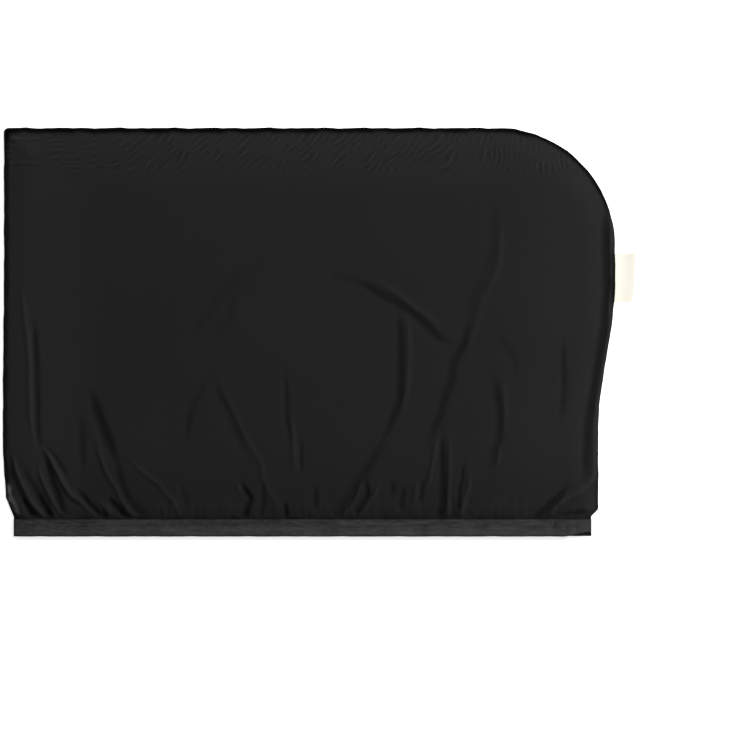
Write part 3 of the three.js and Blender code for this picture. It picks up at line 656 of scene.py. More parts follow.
class Shader:
    """A material's nodes, with short calls for those that a pattern is worked out from."""

    def __init__(self, name):
        self.material = bpy.data.materials.new(name)
        self.material.use_nodes = True
        self.nodes = self.material.node_tree.nodes
        self.surface = next(n for n in self.nodes if n.type == "BSDF_PRINCIPLED")

    def node(self, kind, **settings):
        made = self.nodes.new(kind)
        for key, value in settings.items():
            setattr(made, key, value)
        return made

    def feed(self, socket, value):
        if isinstance(value, bpy.types.NodeSocket):
            self.material.node_tree.links.new(value, socket)
        else:
            socket.default_value = value

    def math(self, operation, *values, clamp=False):
        made = self.node("ShaderNodeMath", operation=operation, use_clamp=clamp)
        for socket, value in zip(made.inputs, values):
            self.feed(socket, value)
        return made.outputs[0]

    def add(self, first, second):
        return self.math("ADD", first, second)

    def times(self, first, second):
        return self.math("MULTIPLY", first, second)

    def clamped(self, value, factor, shift):
        """A factor times a value, plus a shift, kept between 0 and 1."""
        return self.math("MULTIPLY_ADD", value, factor, shift, clamp=True)

    def wave(self, along, pitch):
        """Sine of a coordinate, one turn for each pitch."""
        return self.math("SINE", self.times(along, 2 * math.pi / pitch))

    def attribute(self, name):
        return self.node("ShaderNodeAttribute", attribute_name=name).outputs["Fac"]

    def noise(self, vector, scale, detail=2.0, roughness=0.5):
        made = self.node("ShaderNodeTexNoise")
        self.feed(made.inputs["Vector"], vector)
        self.feed(made.inputs["Scale"], scale)
        self.feed(made.inputs["Detail"], detail)
        self.feed(made.inputs["Roughness"], roughness)
        return made.outputs["Fac"]

    def about(self, noise, size):
        """A noise moved to lie about nought, times a size."""
        return self.times(self.add(noise, -0.5), size)

    def coordinates(self, kind, scale=(1, 1, 1)):
        """Object or UV coordinates through a Mapping node, which scales them."""
        source = self.node("ShaderNodeTexCoord").outputs[kind]
        mapping = self.node("ShaderNodeMapping")
        self.feed(mapping.inputs["Vector"], source)
        self.feed(mapping.inputs["Scale"], scale)
        return mapping.outputs[0]

    def split(self, vector):
        made = self.node("ShaderNodeSeparateXYZ")
        self.feed(made.inputs[0], vector)
        return made.outputs[0], made.outputs[1]

    def tinted(self, colour, factor):
        """A colour made lighter or darker by a factor."""
        made = self.node("ShaderNodeVectorMath", operation="SCALE")
        made.inputs[0].default_value = tuple(colour)
        self.feed(made.inputs["Scale"], factor)
        return made.outputs[0]

    def bump(self, height, distance, strength=1.0):
        made = self.node("ShaderNodeBump")
        self.feed(made.inputs["Height"], height)
        self.feed(made.inputs["Distance"], distance)
        self.feed(made.inputs["Strength"], strength)
        self.feed(self.surface.inputs["Normal"], made.outputs[0])

    def finish(self, colour, roughness, specular=0.3, sheen=0.0):
        self.feed(self.surface.inputs["Base Color"], colour)
        self.feed(self.surface.inputs["Roughness"], roughness)
        self.surface.inputs["Specular IOR Level"].default_value = specular
        self.surface.inputs["Sheen Weight"].default_value = sheen
        self.surface.inputs["Sheen Roughness"].default_value = 0.5
        return self.material


def mesh_cloth(cloth):
    """Knitted stretch mesh: columns of stitches crossed by rows. Where the two panels lie
    close, their knits beat into paler fringes. The tone attribute paints shade into valleys
    and along the seam and highlight onto ridges, and the cloth is paler where it is stretched
    thin and the floor shows through."""
    s = Shader("mesh_cloth")
    pitch = cloth.knit_pitch
    flat = s.coordinates("UV")
    u, v = s.split(flat)
    column = s.wave(u, pitch)
    row = s.wave(v, pitch * KNIT_ROW_SHARE)
    patches = s.noise(flat, PATCH_CELLS, detail=3.0, roughness=0.65)
    ragged = s.times(s.noise(flat, RAGGED_CELLS, detail=3.0, roughness=0.7), 4.6)
    fringe = s.math("SINE", s.add(s.times(s.attribute("phase"), 2 * math.pi), ragged))
    stroke = s.clamped(fringe, 1.25, -0.2)
    cloudy = s.noise(flat, CLOUD_CELLS, detail=4.0, roughness=0.6)
    strength = s.times(s.attribute("fringe"), s.clamped(patches, 7.0, -3.2))
    tone = s.add(1.0, s.times(strength, s.add(s.times(stroke, 0.5), -0.18)))
    tone = s.add(tone, s.about(cloudy, 0.2))
    # the tone attribute brings in the painted shade and painted light of the folds, seam, hem and border
    tone = s.times(tone, s.attribute("tone"))
    tone = s.times(tone, s.add(1.0, s.times(s.times(column, row), 0.14)))
    tone = s.add(tone, s.times(s.attribute("sheer"), s.add(-1.0, s.times(patches, 13.0))))
    s.bump(s.add(column, row), 0.08 * MM, 0.5)
    return s.finish(s.tinted(cloth.colour, tone), 0.9, specular=0.015)


def overlock_thread(cloth):
    """Looped overlocking thread: short cross bars along the seam, darker between them."""
    s = Shader("overlock_thread")
    u, v = s.split(s.coordinates("UV"))
    bars = s.wave(s.add(u, s.times(v, 0.25)), LOOP_PITCH)
    s.bump(bars, 0.15 * MM, 0.8)
    return s.finish(s.tinted(cloth.thread_colour, s.add(1.0, s.times(bars, 0.35))), 0.7, specular=0.3)


def woven_elastic(trim):
    """Woven elastic: fine ribs along it, crossed by short picks, lighter on the lower half,
    with painted shade along the crease between, and painted streaks and flecks of uneven shine."""
    s = Shader("woven_elastic")
    u, v = s.split(s.coordinates("UV"))
    rib = s.wave(v, RIB_PITCH)
    pick = s.wave(s.add(u, s.times(rib, PICK_SWAY)), PICK_PITCH)
    streaks = s.noise(s.coordinates("UV", scale=STREAK_CELLS), 1.0, detail=3.0, roughness=0.6)
    flecks = s.noise(s.coordinates("UV", scale=FLECK_CELLS), 1.0, detail=2.0)
    from_crease = s.add(s.add(v, s.about(streaks, CREASE_WANDER)), -ELASTIC_WIDTH * 0.5)
    upper = s.clamped(from_crease, 1 / CREASE_STEP, 0.5)
    crease_shade = s.clamped(s.math("ABSOLUTE", s.times(from_crease, 1 / CREASE_REACH)), -1.0, 1.0)
    tone = s.add(1.12, s.times(upper, -0.28))
    # painted shade along the middle crease
    tone = s.add(tone, s.times(crease_shade, -0.14))
    # painted shine: streaks and flecks lighter and darker along the strip
    tone = s.add(tone, s.about(streaks, 2.6))
    tone = s.add(tone, s.about(flecks, 2.0))
    tone = s.add(tone, s.add(s.times(rib, 0.06), s.times(pick, 0.04)))
    tone = s.times(tone, s.attribute("tone"))
    s.bump(s.add(rib, s.times(pick, 0.5)), 0.09 * MM, 0.7)
    roughness = s.add(0.5, s.times(flecks, 0.3))
    return s.finish(s.tinted(trim.elastic_colour, tone), roughness, specular=0.22)


def sewing_thread(trim):
    """Twisted polyester thread: fine slanting strands."""
    s = Shader("sewing_thread")
    u, v = s.split(s.coordinates("Object"))
    twist = s.wave(s.add(u, v), TWIST_PITCH)
    s.bump(twist, 0.04 * MM, 0.6)
    return s.finish(s.tinted(trim.sewing_colour, s.add(1.0, s.times(twist, 0.2))), 0.5, specular=0.4)


def label_satin(trim):
    """Satin ribbon: very fine threads across, and a soft shine."""
    s = Shader("label_satin")
    flat = s.coordinates("UV")
    u, v = s.split(flat)
    thread = s.wave(v, SATIN_PITCH)
    cross = s.wave(u, SATIN_CROSS)
    cloudy = s.noise(flat, SATIN_CELLS, detail=3.0)
    tone = s.add(1.0, s.times(thread, 0.012))
    tone = s.add(tone, s.about(cloudy, 0.05))
    s.bump(s.add(thread, s.times(cross, 0.4)), 0.03 * MM, 0.5)
    return s.finish(s.tinted(trim.label_colour, tone), 0.5, specular=0.4, sheen=0.1)


def pale_floor(stage):
    """Plain pale floor with the faintest unevenness, and a glow that keeps shadows light."""
    s = Shader("pale_floor")
    faint = s.noise(s.coordinates("Object"), FLOOR_CELLS)
    tone = s.add(1.0, s.about(faint, 0.01))
    s.surface.inputs["Emission Color"].default_value = (1, 1, 1, 1)
    s.surface.inputs["Emission Strength"].default_value = stage.floor_glow
    return s.finish(s.tinted(stage.floor_colour, tone), 0.8, specular=0.1)


# Pieces

def graded(low, high, low_steps, high_steps, pitch, growth=1.0, widest=None):
    """Places from low to high, an even number of steps: given fine steps at either end, and
    between them a pitch that grows from the low end until it is the widest."""
    start, end = low + low_steps[-1], high - high_steps[-1]
    steps = [start]
    while steps[-1] < end - pitch / 2 or (len(low_steps) + len(high_steps) + len(steps)) % 2 == 0:
        steps.append(steps[-1] + pitch)
        pitch = min(pitch * growth, widest or pitch)
    middle = start + (np.array(steps) - start) * (end - start) / (steps[-1] - start)
    return np.concatenate([low + np.array(low_steps[:-1]), middle, high - np.array(high_steps[-2::-1])])


def panel_grid(column_pitch, row_pitch, growth, widest):
    """Grid of the undrawn panel, its corners rounded: fine at the sewn edges and the hem."""
    columns = graded(0, WIDTH, EDGE_STEPS, EDGE_STEPS, column_pitch)
    rows = graded(HEM_INSET, HEIGHT, [0, HEM_TOP - HEM_INSET], EDGE_STEPS, row_pitch, growth, widest)
    return round_corners(*np.meshgrid(columns, rows))


def fringe_phase(across, down):
    """Turns of the fringes' wave: level lines at the left, slanting ones in the middle and
    upright ones at the right, about 7 mm apart, bent by two slow waves."""
    places, along_x, along_y = np.array(FRINGE_WAVES).T
    places = places * MM
    fine = np.linspace(0, WIDTH, 400)
    run = np.cumsum(np.interp(fine, places, along_x)) * (fine[1] - fine[0])
    bend = 0.2 * np.sin(across / (9 * MM) + 1.5 * np.sin(down / (13 * MM)))
    bend += 0.16 * np.sin(down / (5 * MM) + across / (27 * MM))
    return np.interp(across, fine, run) + down * np.interp(across, places, along_y) + bend


def bell(distance, width, power=2):
    """1 in the middle, falling to nothing past the width; a higher power flattens its top."""
    return np.exp(-(np.abs(distance / width) ** power))


def seam_line_and_shade(across, up, x, y):
    """How dark the sewn edge is: a line that is partly the allowance showing through and partly
    painted shade where the edge curls down, wide at the left and narrow at the round corner,
    faint on the lit right side but for the label's stretch, and broken where the cloth is
    stretched thin."""
    right = ease((x - 0.86 * WIDTH) / (0.08 * WIDTH)) * ease((0.83 * HEIGHT - y) / (0.06 * HEIGHT))
    beside_label = bell(y + HEM - (LABEL_LOW.y + LABEL_HIGH.y) / 2, LINE_LABEL_REACH, 8)
    thin_patch = bell(y - LINE_BREAK, LINE_BREAK_REACH, 4) * (x < WIDTH / 2)
    strength = mix(LINE_DARK, LINE_FAINT, right) + LINE_BY_LABEL * right * beside_label
    width = mix(LINE_LEFT, LINE_CORNER, ease((x / WIDTH - 0.2) / 0.6))
    width = width + waver(x + y, LINE_WANDER, SEAM_WANDER)
    width = width * (1 + 0.7 * bell(np.hypot(x, HEIGHT - y), LINE_CORNER_REACH))
    distance = edge_distance(across, up)
    along_top = ease((up - HEIGHT + 20 * MM) / (10 * MM))
    allowance = ALLOWANCE_DARK * bell(distance - ALLOWANCE, ALLOWANCE_REACH) * along_top
    line = bell(distance, width * (1 - 0.5 * thin_patch), 4)
    return np.clip(strength * (line + allowance), 0, 1)


def thin_stretch(x, y):
    """The small paler patch at the hem's left end, where the stretched knit lets the floor
    show: its middle line and half width by height, with a ragged border."""
    heights, middles, reaches = np.array(THIN_STRETCH).T * MM
    middle = np.interp(y, heights, middles)
    reach = np.interp(y, heights, reaches) * (1 + waver(y * 3, 0.7, THIN_REACH))
    ends = ease((y - heights[0]) / (5 * MM)) * ease((heights[-1] + 2 * MM - y) / (9 * MM))
    return bell(x - middle - waver(y * 2.2, 0.8 * MM, THIN_MIDDLE), reach) * ends


def cloth_facts(across, up, x, y, folds):
    """What the cloth's material follows, for every point: the tone, which paints shade and
    light: shade in the folds' valleys and highlight on their ridges, the paler border, shade
    among the gathers above the hem and beside the elastic, light on the left seam's slope,
    and the dark line over the seam, partly painted shade; the fringes' phase and strength;
    and the thin stretched patch."""
    down = HEIGHT - up
    # painted light: paler near the sewn edges, as if the floor's light showed through the mesh there
    border = 1 - (
        ease((across - BORDER_LEFT) / BORDER_LEFT_FADE)
        * ease((down - BORDER_TOP) / BORDER_TOP_FADE)
        * ease((WIDTH - across - BORDER_RIGHT) / BORDER_RIGHT_FADE))
    # painted shade among the gathers above the hem
    hem = ease((HEM_TOP + HEM_ZONE - y) / HEM_ZONE_FADE)
    # painted shade along the cloth beside the elastic
    shade_by_elastic = bell(y - HEM_TOP - SHADE_FROM_HEM, SHADE_REACH) * (SHADE_DARK + waver(x, SHADE_WANDER, HEM_SHADE))
    share = np.clip(folds / FULL_FOLD, -1, 1)
    # painted shade in the folds' valleys and painted highlight on their ridges
    closed = np.where(share < 0, VALLEY_PAINTED_SHADE * share, RIDGE_PAINTED_HIGHLIGHT * share)
    tone = (1 + BORDER_PAINTED_LIGHT * border) * (1 - HEM_PAINTED_SHADE * hem) * (1 + closed) * (1 - shade_by_elastic)
    # painted light that evens out the shade on the slope beside the left seam
    tone = tone * (1 + LEFT_PAINTED_LIGHT * bell(across - LEFT_LIGHT_AT, LEFT_LIGHT_REACH))
    tone = tone * (1 - seam_line_and_shade(across, up, x, y))
    near_top = ease((FRINGE_DEPTH - down) / FRINGE_FADE)
    fringe = (FRINGE_FAINT * border + FRINGE_STRONG * near_top) * ease(down / (5 * MM) - 0.9)
    return {
        "tone": tone, "phase": fringe_phase(across, down), "fringe": fringe, "sheer": thin_stretch(x, y)}


class SUNSHADE_OT_panels(bpy.types.Operator):
    """Make the two mesh panels: the gathered upper one and the flat lower one"""

    bl_idname = "sunshade.panels"
    bl_label = "Mesh Panels"

    def execute(self, context):
        cloth = context.scene.sunshade_cloth
        material = mesh_cloth(cloth)
        front = self.upper(cloth, material)
        back = self.lower(cloth, material)
        return {"FINISHED"}

    def upper(self, cloth, material):
        """The roof of the sleeve over a fine grid, one cloth thick."""
        across, up = panel_grid(cloth.column_pitch, cloth.row_pitch, ROW_GROWTH, WIDEST_ROW)
        x, y = lay(across, up)
        folds = relief(x, y, cloth)
        z = sleeve_roof(across, up, x, y, folds)
        x, y = pucker(across, up, x, y, cloth.pucker)
        uv = np.stack([across, up], -1)
        facts = cloth_facts(across, up, x, y, folds)
        outer, inner = place(x, y, z + CLOTH), place(x, y, z)
        piece = sheet_piece("upper_panel", outer, inner, material, uv, facts, coarse=2, sharp=75)
        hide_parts("front_panel")
        return piece

    def lower(self, cloth, material):
        """Flat on the floor, lifted over the elastic, with low gathers beside it."""
        across, up = panel_grid(LOWER_PITCH, LOWER_PITCH, LOWER_GROWTH, LOWER_WIDEST)
        x, y = lay(mix(LOWER_INSET, WIDTH - LOWER_INSET, across / WIDTH), up - LOWER_INSET * up / HEIGHT)
        near_hem = ease((y - HEM_TOP) / FULLNESS_RAMP) * ease((HEM_TOP + LOWER_SLEEVE - y) / LOWER_SLEEVE)
        from_edge = ease(edge_distance(across, up) / EDGE_ROLL)
        ripple = (waver(x, RIPPLE, BACK_RIPPLE) + RIPPLE) * near_hem * from_edge
        z = hem_lift(y) + np.maximum(ripple, 0)
        x, y = pucker(across, up, x, y, cloth.pucker)
        uv = np.stack([across, up], -1)
        facts = cloth_facts(across, up, x, y, np.zeros(x.shape))
        outer, inner = place(x, y, z + CLOTH), place(x, y, z)
        piece = sheet_piece("lower_panel", outer, inner, material, uv, facts, sharp=75)
        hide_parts("back_panel")
        return piece


class SUNSHADE_OT_overlock(bpy.types.Operator):
    """Make the overlocked allowance that runs inside the sleeve along its sewn edge"""

    bl_idname = "sunshade.overlock"
    bl_label = "Overlocked Seam"

    def execute(self, context):
        cloth = context.scene.sunshade_cloth
        at, inward, run = self.edge()
        insets = SEAM_INSET + SEAM_WIDTH * np.array([0, 0.12, 0.35, 0.65, 0.88, 1])
        loops = 0.5 + 0.5 * np.sin(2 * math.pi * run[:, None] / LOOP_PITCH)
        rounded = np.sqrt(np.clip(1 - (2 * (insets - insets.mean()) / SEAM_WIDTH) ** 2, 0, 1))
        half = SEAM_THICKNESS / 2 * (0.35 + 0.65 * rounded) * (0.72 + 0.28 * loops)
        x, y = lay(*(at[:, None, :] + inward[:, None, :] * insets[:, None]).transpose(2, 0, 1))
        middle = SEAM_LEVEL + hem_lift(y) + SEAM_THICKNESS / 2
        uv = np.stack(np.broadcast_arrays(run[:, None], insets), -1)
        piece = sheet_piece(
            "overlocked_seam", place(x, y, middle + half), place(x, y, middle - half),
            overlock_thread(cloth), uv)
        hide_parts("edge_overlock")
        return {"FINISHED"}

    def edge(self):
        """Evenly spaced stations along the sewn edge: straight up the left, along the top,
        round the corner and down the right, with the inward direction at each."""
        small, large = SMALL_CORNER_RADIUS, CORNER_RADIUS
        turns = [(small, small, math.pi, math.pi / 2), (CORNER_X, large, math.pi / 2, 0)]
        line = [np.array([[0, HEM_INSET], [0, HEIGHT - small]])]
        for centre, radius, first, last in turns:
            angle = np.linspace(first, last, 60)
            line.append(np.stack([
                centre + radius * np.cos(angle), HEIGHT - radius + radius * np.sin(angle)], 1))
        line.append(np.array([[WIDTH, HEM_INSET]]))
        line = np.vstack(line)
        lengths = np.concatenate([[0], np.cumsum(np.hypot(*np.diff(line, axis=0).T))])
        run = np.arange(0, lengths[-1], SEAM_STEP)
        at = np.stack([np.interp(run, lengths, line[:, i]) for i in (0, 1)], 1)
        forward = np.gradient(at, axis=0)
        forward /= np.hypot(*forward.T)[:, None]
        return at, np.stack([forward[:, 1], -forward[:, 0]], 1), run


def elastic_level(x):
    """Underside of the elastic where it lies over the upper panel at the hem."""
    across = WIDTH * (x - HEM_LEFT) / (HEM_RIGHT - HEM_LEFT)
    distance = np.clip(np.minimum(across, WIDTH - across) / EDGE_ROLL, 0, 1)
    roof = mix(EDGE_LEVEL + BACK_LIFT, SLEEVE_LEVEL, np.sin(math.pi / 2 * distance))
    return roof + CLOTH + LAYER_GAP


def elastic_line():
    """Middle line of the strip round the mouth, seen along +Y, one row for each station:
    its place, height and outward direction. It runs over the front to the left, round,
    under the back, round, and over the front again until it laps its own start."""
    start = LAP_END + LAP
    angle = np.linspace(0, math.pi, TURN_STEPS)[1:-1]
    radius = RING_END_RADIUS - ELASTIC / 2
    over = np.linspace(start, HEM_LEFT, OVER_STEPS)
    under = np.linspace(HEM_LEFT, HEM_RIGHT, UNDER_STEPS)
    again = np.linspace(HEM_RIGHT, LAP_END, LAPPED_STEPS)
    climb = (ELASTIC + LAYER_GAP) * np.clip((start + LAYER_GAP + LAP_RISE - again) / LAP_RISE, 0, 1)
    half = ELASTIC / 2
    parts = [
        (over, elastic_level(over) + half, 0 * over, 1 + 0 * over),
        (HEM_LEFT - radius * np.sin(angle), RING_END_RADIUS + radius * np.cos(angle),
         -np.sin(angle), np.cos(angle)),
        (under, half + 0 * under, 0 * under, -1 + 0 * under),
        (HEM_RIGHT + radius * np.sin(angle), RING_END_RADIUS - radius * np.cos(angle),
         np.sin(angle), -np.cos(angle)),
        (again, elastic_level(again) + half + climb, 0 * again, 1 + 0 * again),
    ]
    return np.concatenate([np.stack(part, 1) for part in parts])


def line_run(line):
    """Length along the elastic's middle line up to each station."""
    return np.concatenate([[0], np.cumsum(np.hypot(*np.diff(line[:, :2], axis=0).T))])


def elastic_surface(trim, run, share, side):
    """Points of the strip, at lengths along it and shares of its width, on its outer side
    (1) or inner side (-1), with their outward directions. It undulates over the gathered
    cloth, has a shallow crease along its middle, is pressed thinner under the back, and its
    lower border tucks in and lifts towards the right end of the mouth."""
    line = elastic_line()
    x, z, out_x, out_z = (np.interp(run, line_run(line), column) for column in line.T)
    front = np.clip(out_z, 0, 1)
    ends = ease((x - HEM_LEFT) / STRIP_CALM) * ease((HEM_RIGHT - x) / STRIP_CALM)
    wave = (waver(run, trim.wave_height, STRIP_WAVE) + trim.wave_height) * front * ends
    tilt = waver(run, STRIP_ROCK, STRIP_TILT) * (share - 0.5) * front * ends
    crease = -STRIP_CREASE * bell(share - 0.5, 0.07)
    swell = STRIP_SWELL * np.sqrt(np.clip(np.sin(math.pi * share), 0, 1))
    tuck = front * ease((x - HEM_RIGHT + TUCK_LENGTH) / TUCK_LENGTH) * (1 - share) ** 2
    y = share * ELASTIC_WIDTH + waver(run, STRIP_WANDER, STRIP_BORDER) + TUCK * tuck
    thinner = LAP_THINNING * ease((run - line_run(line)[-1] + LAP_TAPER) / LAP_TAPER)
    offset = side * ELASTIC / 2 * (1 - thinner) + (crease + swell) * front * (side > 0) * (1 - thinner)
    offset = offset - UNDER_THINNING * np.clip(-out_z, 0, 1) * (side > 0)
    sunk = (ELASTIC / 2 + 0.8 * LAYER_GAP) * thinner
    z = z + out_z * offset + wave + tilt + STRIP_REST * front + TUCK_LIFT * tuck - sunk
    return place(x + out_x * offset, y, z), np.stack(np.broadcast_arrays(out_x, 0 * y, out_z), -1)


class SUNSHADE_OT_elastic(bpy.types.Operator):
    """Make the strip of woven elastic, closed round the mouth with lapped ends"""

    bl_idname = "sunshade.elastic"
    bl_label = "Hem Elastic"

    def execute(self, context):
        trim = context.scene.sunshade_trim
        run = line_run(elastic_line())[:, None]
        share = np.linspace(0, 1, STRIP_STEPS)
        outer, inner = (elastic_surface(trim, run, share, side)[0] for side in (1, -1))
        uv = np.stack(np.broadcast_arrays(run, share * ELASTIC_WIDTH), -1)
        facts = {"tone": self.tone(run, share)}
        piece = sheet_piece("woven_elastic", outer, inner, woven_elastic(trim), uv, facts)
        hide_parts("hem_elastic")
        return {"FINISHED"}

    def tone(self, run, share):
        """Darker over the last stretch towards the strip's end and round the right end; painted
        shade, much darker, under the back inside the mouth towards the right, round the left end,
        and along both of its edges, of which the lower is nearly black."""
        length = run[-1, 0]
        to_end = length - run
        # darker towards the strip's end, and painted shade under the back inside the mouth
        lapped = 0.34 * ease(to_end / (26 * MM)) + 0.5 * ease((to_end - LAP_FROM_END) / (6 * MM))
        lapped = np.where(to_end < 0.4 * length, lapped, 0)
        painted_border_shade = 0.9 * bell(share, 0.07, 3) + 0.4 * bell(1 - share, 0.04)
        left_turn_shade = 0.6 * ease((HEM_LEFT + 1.5 * MM - elastic_line()[:, :1]) / (2 * MM))
        return (1 - lapped) * (1 - painted_border_shade) * (1 - left_turn_shade)


class SUNSHADE_OT_stitching(bpy.types.Operator):
    """Make the stitches that hold the elastic: two rows along it and tacks over the lap"""

    bl_idname = "sunshade.stitching"
    bl_label = "Hem Stitching"

    def execute(self, context):
        trim = context.scene.sunshade_trim
        length = line_run(elastic_line())[-1]
        lap = length - LAP
        pitch = trim.stitch_length + trim.stitch_gap
        run = np.arange(LAP + STITCH_END, lap - STITCH_END, pitch)
        rows = [
            np.stack([run, 0 * run + share, run + trim.stitch_length, 0 * run + share], 1)
            for share in STITCH_ROWS]
        for middle in (length - TACK_FROM_END, lap + TACK_FROM_LAP):
            at = middle + TACK_SWAY * (-1.0) ** np.arange(len(TACK_CORNERS))
            rows.append(np.stack([at[:-1], TACK_CORNERS[:-1], at[1:], TACK_CORNERS[1:]], 1))
        self.stitches(trim, np.concatenate(rows))
        return {"FINISHED"}

    def stitches(self, trim, ends):
        """One small tube for each stitch: six rings of six points along its line over the
        elastic, arched so that both tips sink into it."""
        rings, sides = 6, 6
        t = np.linspace(0, 1, rings)
        run = ends[:, None, 0] + t * (ends[:, None, 2] - ends[:, None, 0])
        share = ends[:, None, 1] + t * (ends[:, None, 3] - ends[:, None, 1])
        surface, normal = elastic_surface(trim, run, share, 1)
        radius = trim.thread_radius
        centre = surface + normal * (radius * (0.7 - 1.9 * np.abs(2 * t - 1) ** 4))[:, None]
        forward = np.gradient(centre, axis=1)
        across = np.cross(forward, normal)
        across /= np.linalg.norm(across, axis=-1, keepdims=True)
        angle = np.arange(sides) * 2 * math.pi / sides
        girth = radius * (1 - 0.35 * np.abs(2 * t - 1) ** 3)[:, None, None]
        ring = np.cos(angle)[:, None] * across[:, :, None] + np.sin(angle)[:, None] * normal[:, :, None]
        points = centre[:, :, None] + girth * ring
        ring_start = np.arange(rings - 1)[:, None] * sides
        a, b = ring_start + np.arange(sides), ring_start + (np.arange(sides) + 1) % sides
        walls = np.stack([a, b, b + sides, a + sides], -1).reshape(-1, 4)
        first_cap = np.arange(sides)[::-1]
        last_cap = (rings - 1) * sides + np.arange(sides)
        shift = np.arange(len(ends))[:, None, None] * rings * sides
        groups = [(walls + shift).reshape(-1, 4)]
        groups += [(cap + shift).reshape(-1, sides) for cap in (first_cap, last_cap)]
        vertices = points.reshape(-1, 3)
        faces = outward(vertices, groups)
        return new_piece("hem_stitches", vertices, faces, sewing_thread(trim), sharp=80)


class SUNSHADE_OT_label(bpy.types.Operator):
    """Make the blank satin label that is caught in the right seam"""

    bl_idname = "sunshade.label"
    bl_label = "Side Label"

    def execute(self, context):
        trim = context.scene.sunshade_trim
        layer, tail, drop_length = 0.35 * MM, SEAM_INSET - LAYER_GAP, 8 * MM
        reach_lower, reach_upper, clearance = 22.5 * MM, 25.5 * MM, 0.2 * MM
        length = np.linspace(0, 1, 40)[:, None]
        y = LABEL_LOW.y - HEM + length * (LABEL_HIGH.y - LABEL_LOW.y)
        steps = np.linspace(0, 1, 24)
        turn = np.linspace(0, 1, 9)[1:-1]
        share = np.concatenate([steps, np.ones(7), steps[::-1]])
        out_x = np.concatenate([0 * steps, np.sin(math.pi * turn), 0 * steps])
        out_z = np.concatenate([0 * steps - 1, -np.cos(math.pi * turn), 0 * steps + 1])
        bend = (layer + LAYER_GAP) / 2
        reach = mix(reach_lower, reach_upper, length) - layer - LAYER_GAP / 2
        past = mix(-tail, reach, share)
        foot = mix(SEAM_LEVEL, clearance, ease((past - LAYER_GAP) / drop_length)) + layer / 2
        curl = 0.9 * MM * ease(past / reach * 2 - 1) * (0.4 + 0.6 * length**2)
        edge = right_seam(y)
        x = edge + past + bend * out_x
        z = foot + (1 + out_z) * bend + curl
        outer, inner = (
            place(x + out_x * offset, y, z + out_z * offset) for offset in (layer / 2, -layer / 2))
        run = np.concatenate([steps, 1 + turn / 20, 2.05 - steps[::-1]]) * reach_upper
        uv = np.stack(np.broadcast_arrays(run, length * (LABEL_HIGH.y - LABEL_LOW.y)), -1)
        piece = sheet_piece("satin_label", outer, inner, label_satin(trim), uv)
        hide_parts("side_label")
        return {"FINISHED"}


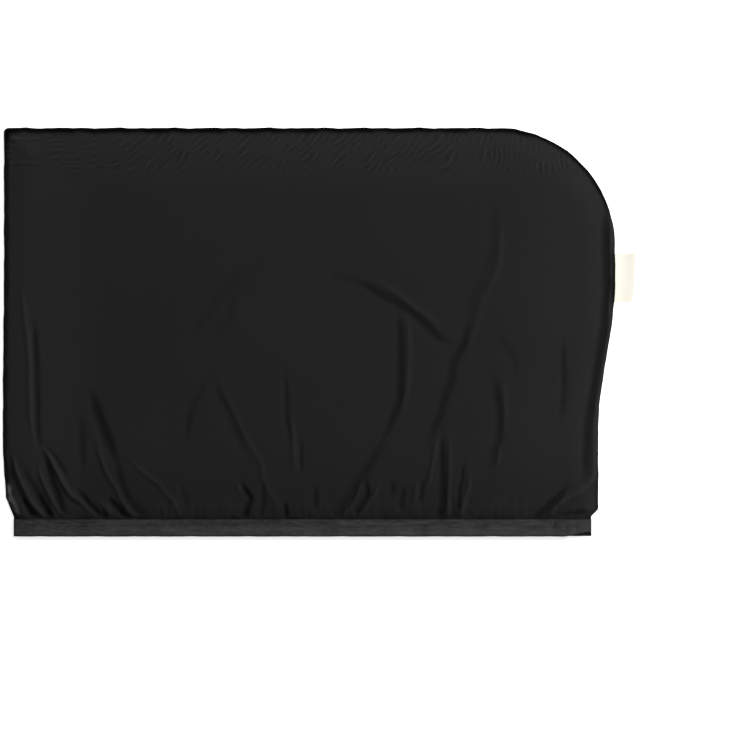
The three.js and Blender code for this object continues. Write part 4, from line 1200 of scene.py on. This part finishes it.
class SUNSHADE_OT_stage(bpy.types.Operator):
    """Make the floor, the lights and the camera that looks straight down"""

    bl_idname = "sunshade.stage"
    bl_label = "Floor, Light and Camera"

    def execute(self, context):
        stage = context.scene.sunshade_stage
        self.floor(stage)
        self.light(context, stage)
        self.camera(context, stage)
        return {"FINISHED"}

    def floor(self, stage):
        """A wide flat plane just under the shade."""
        corners = [(x * FLOOR_HALF, y * FLOOR_HALF, 0) for x, y in ((-1, -1), (1, -1), (1, 1), (-1, 1))]
        mesh = bpy.data.meshes.new("floor")
        mesh.from_pydata(corners, [], [(0, 1, 2, 3)])
        mesh.materials.append(pale_floor(stage))
        floor = bpy.data.objects.new("floor", mesh)
        bpy.context.scene.collection.objects.link(floor)

    def light(self, context, stage):
        """One large soft light from the upper right, and an even sky."""
        lamp = bpy.data.lights.new("key", "AREA")
        lamp.shape = "DISK"
        lamp.size = KEY_SIZE
        lamp.energy = stage.key_power
        key = bpy.data.objects.new("key", lamp)
        key.location = KEY_PLACE
        key.rotation_euler = (-Vector(key.location)).to_track_quat("-Z", "Y").to_euler()
        context.scene.collection.objects.link(key)
        world = bpy.data.worlds.new("studio")
        world.use_nodes = True
        background = world.node_tree.nodes["Background"]
        background.inputs["Color"].default_value = (1, 1, 1, 1)
        background.inputs["Strength"].default_value = stage.sky_strength
        context.scene.world = world
        context.scene.view_settings.view_transform = "Standard"

    def camera(self, context, stage):
        """Straight down on the middle of the photograph's frame, at its scale."""
        lens = bpy.data.cameras.new("camera")
        lens.lens = lens.sensor_width * stage.camera_height / (PHOTO_PIXELS * PIXEL)
        camera = bpy.data.objects.new("camera", lens)
        camera.location = (
            LEFT + (PHOTO_PIXELS / 2 - SLEEVE_LEFT_PIXEL) * PIXEL,
            HEM + (HEM_PIXEL - PHOTO_PIXELS / 2) * PIXEL,
            stage.camera_height)
        context.scene.collection.objects.link(camera)
        context.scene.camera = camera


class SUNSHADE_PT_panel(bpy.types.Panel):
    """Sidebar panel that lists the makers of the sunshade's pieces"""

    bl_idname = "SUNSHADE_PT_panel"
    bl_label = "Window Sunshade"
    bl_space_type = "VIEW_3D"
    bl_region_type = "UI"
    bl_category = "Sunshade"

    def draw(self, context):
        for settings in (
            context.scene.sunshade_cloth, context.scene.sunshade_trim, context.scene.sunshade_stage,
        ):
            box = self.layout.box()
            for name in settings.bl_rna.properties.keys():
                if name not in {"rna_type", "name"}:
                    box.prop(settings, name)
        for operator in OPERATORS:
            self.layout.operator(operator.bl_idname)


SETTINGS = {
    "sunshade_cloth": SunshadeCloth,
    "sunshade_trim": SunshadeTrim,
    "sunshade_stage": SunshadeStage,
}
OPERATORS = (
    SUNSHADE_OT_stage,
    SUNSHADE_OT_panels,
    SUNSHADE_OT_overlock,
    SUNSHADE_OT_elastic,
    SUNSHADE_OT_stitching,
    SUNSHADE_OT_label,
)


def register():
    for group in SETTINGS.values():
        bpy.utils.register_class(group)
    for name, group in SETTINGS.items():
        setattr(bpy.types.Scene, name, bpy.props.PointerProperty(type=group))
    for operator in OPERATORS:
        bpy.utils.register_class(operator)
    bpy.utils.register_class(SUNSHADE_PT_panel)


def unregister():
    bpy.utils.unregister_class(SUNSHADE_PT_panel)
    for operator in reversed(OPERATORS):
        bpy.utils.unregister_class(operator)
    for name in SETTINGS:
        delattr(bpy.types.Scene, name)
    for group in SETTINGS.values():
        bpy.utils.unregister_class(group)


def main():
    register()
    bpy.ops.sunshade.stage()
    bpy.ops.sunshade.panels()
    bpy.ops.sunshade.overlock()
    bpy.ops.sunshade.elastic()
    bpy.ops.sunshade.stitching()
    bpy.ops.sunshade.label()


if __name__ == "__main__":
    main()
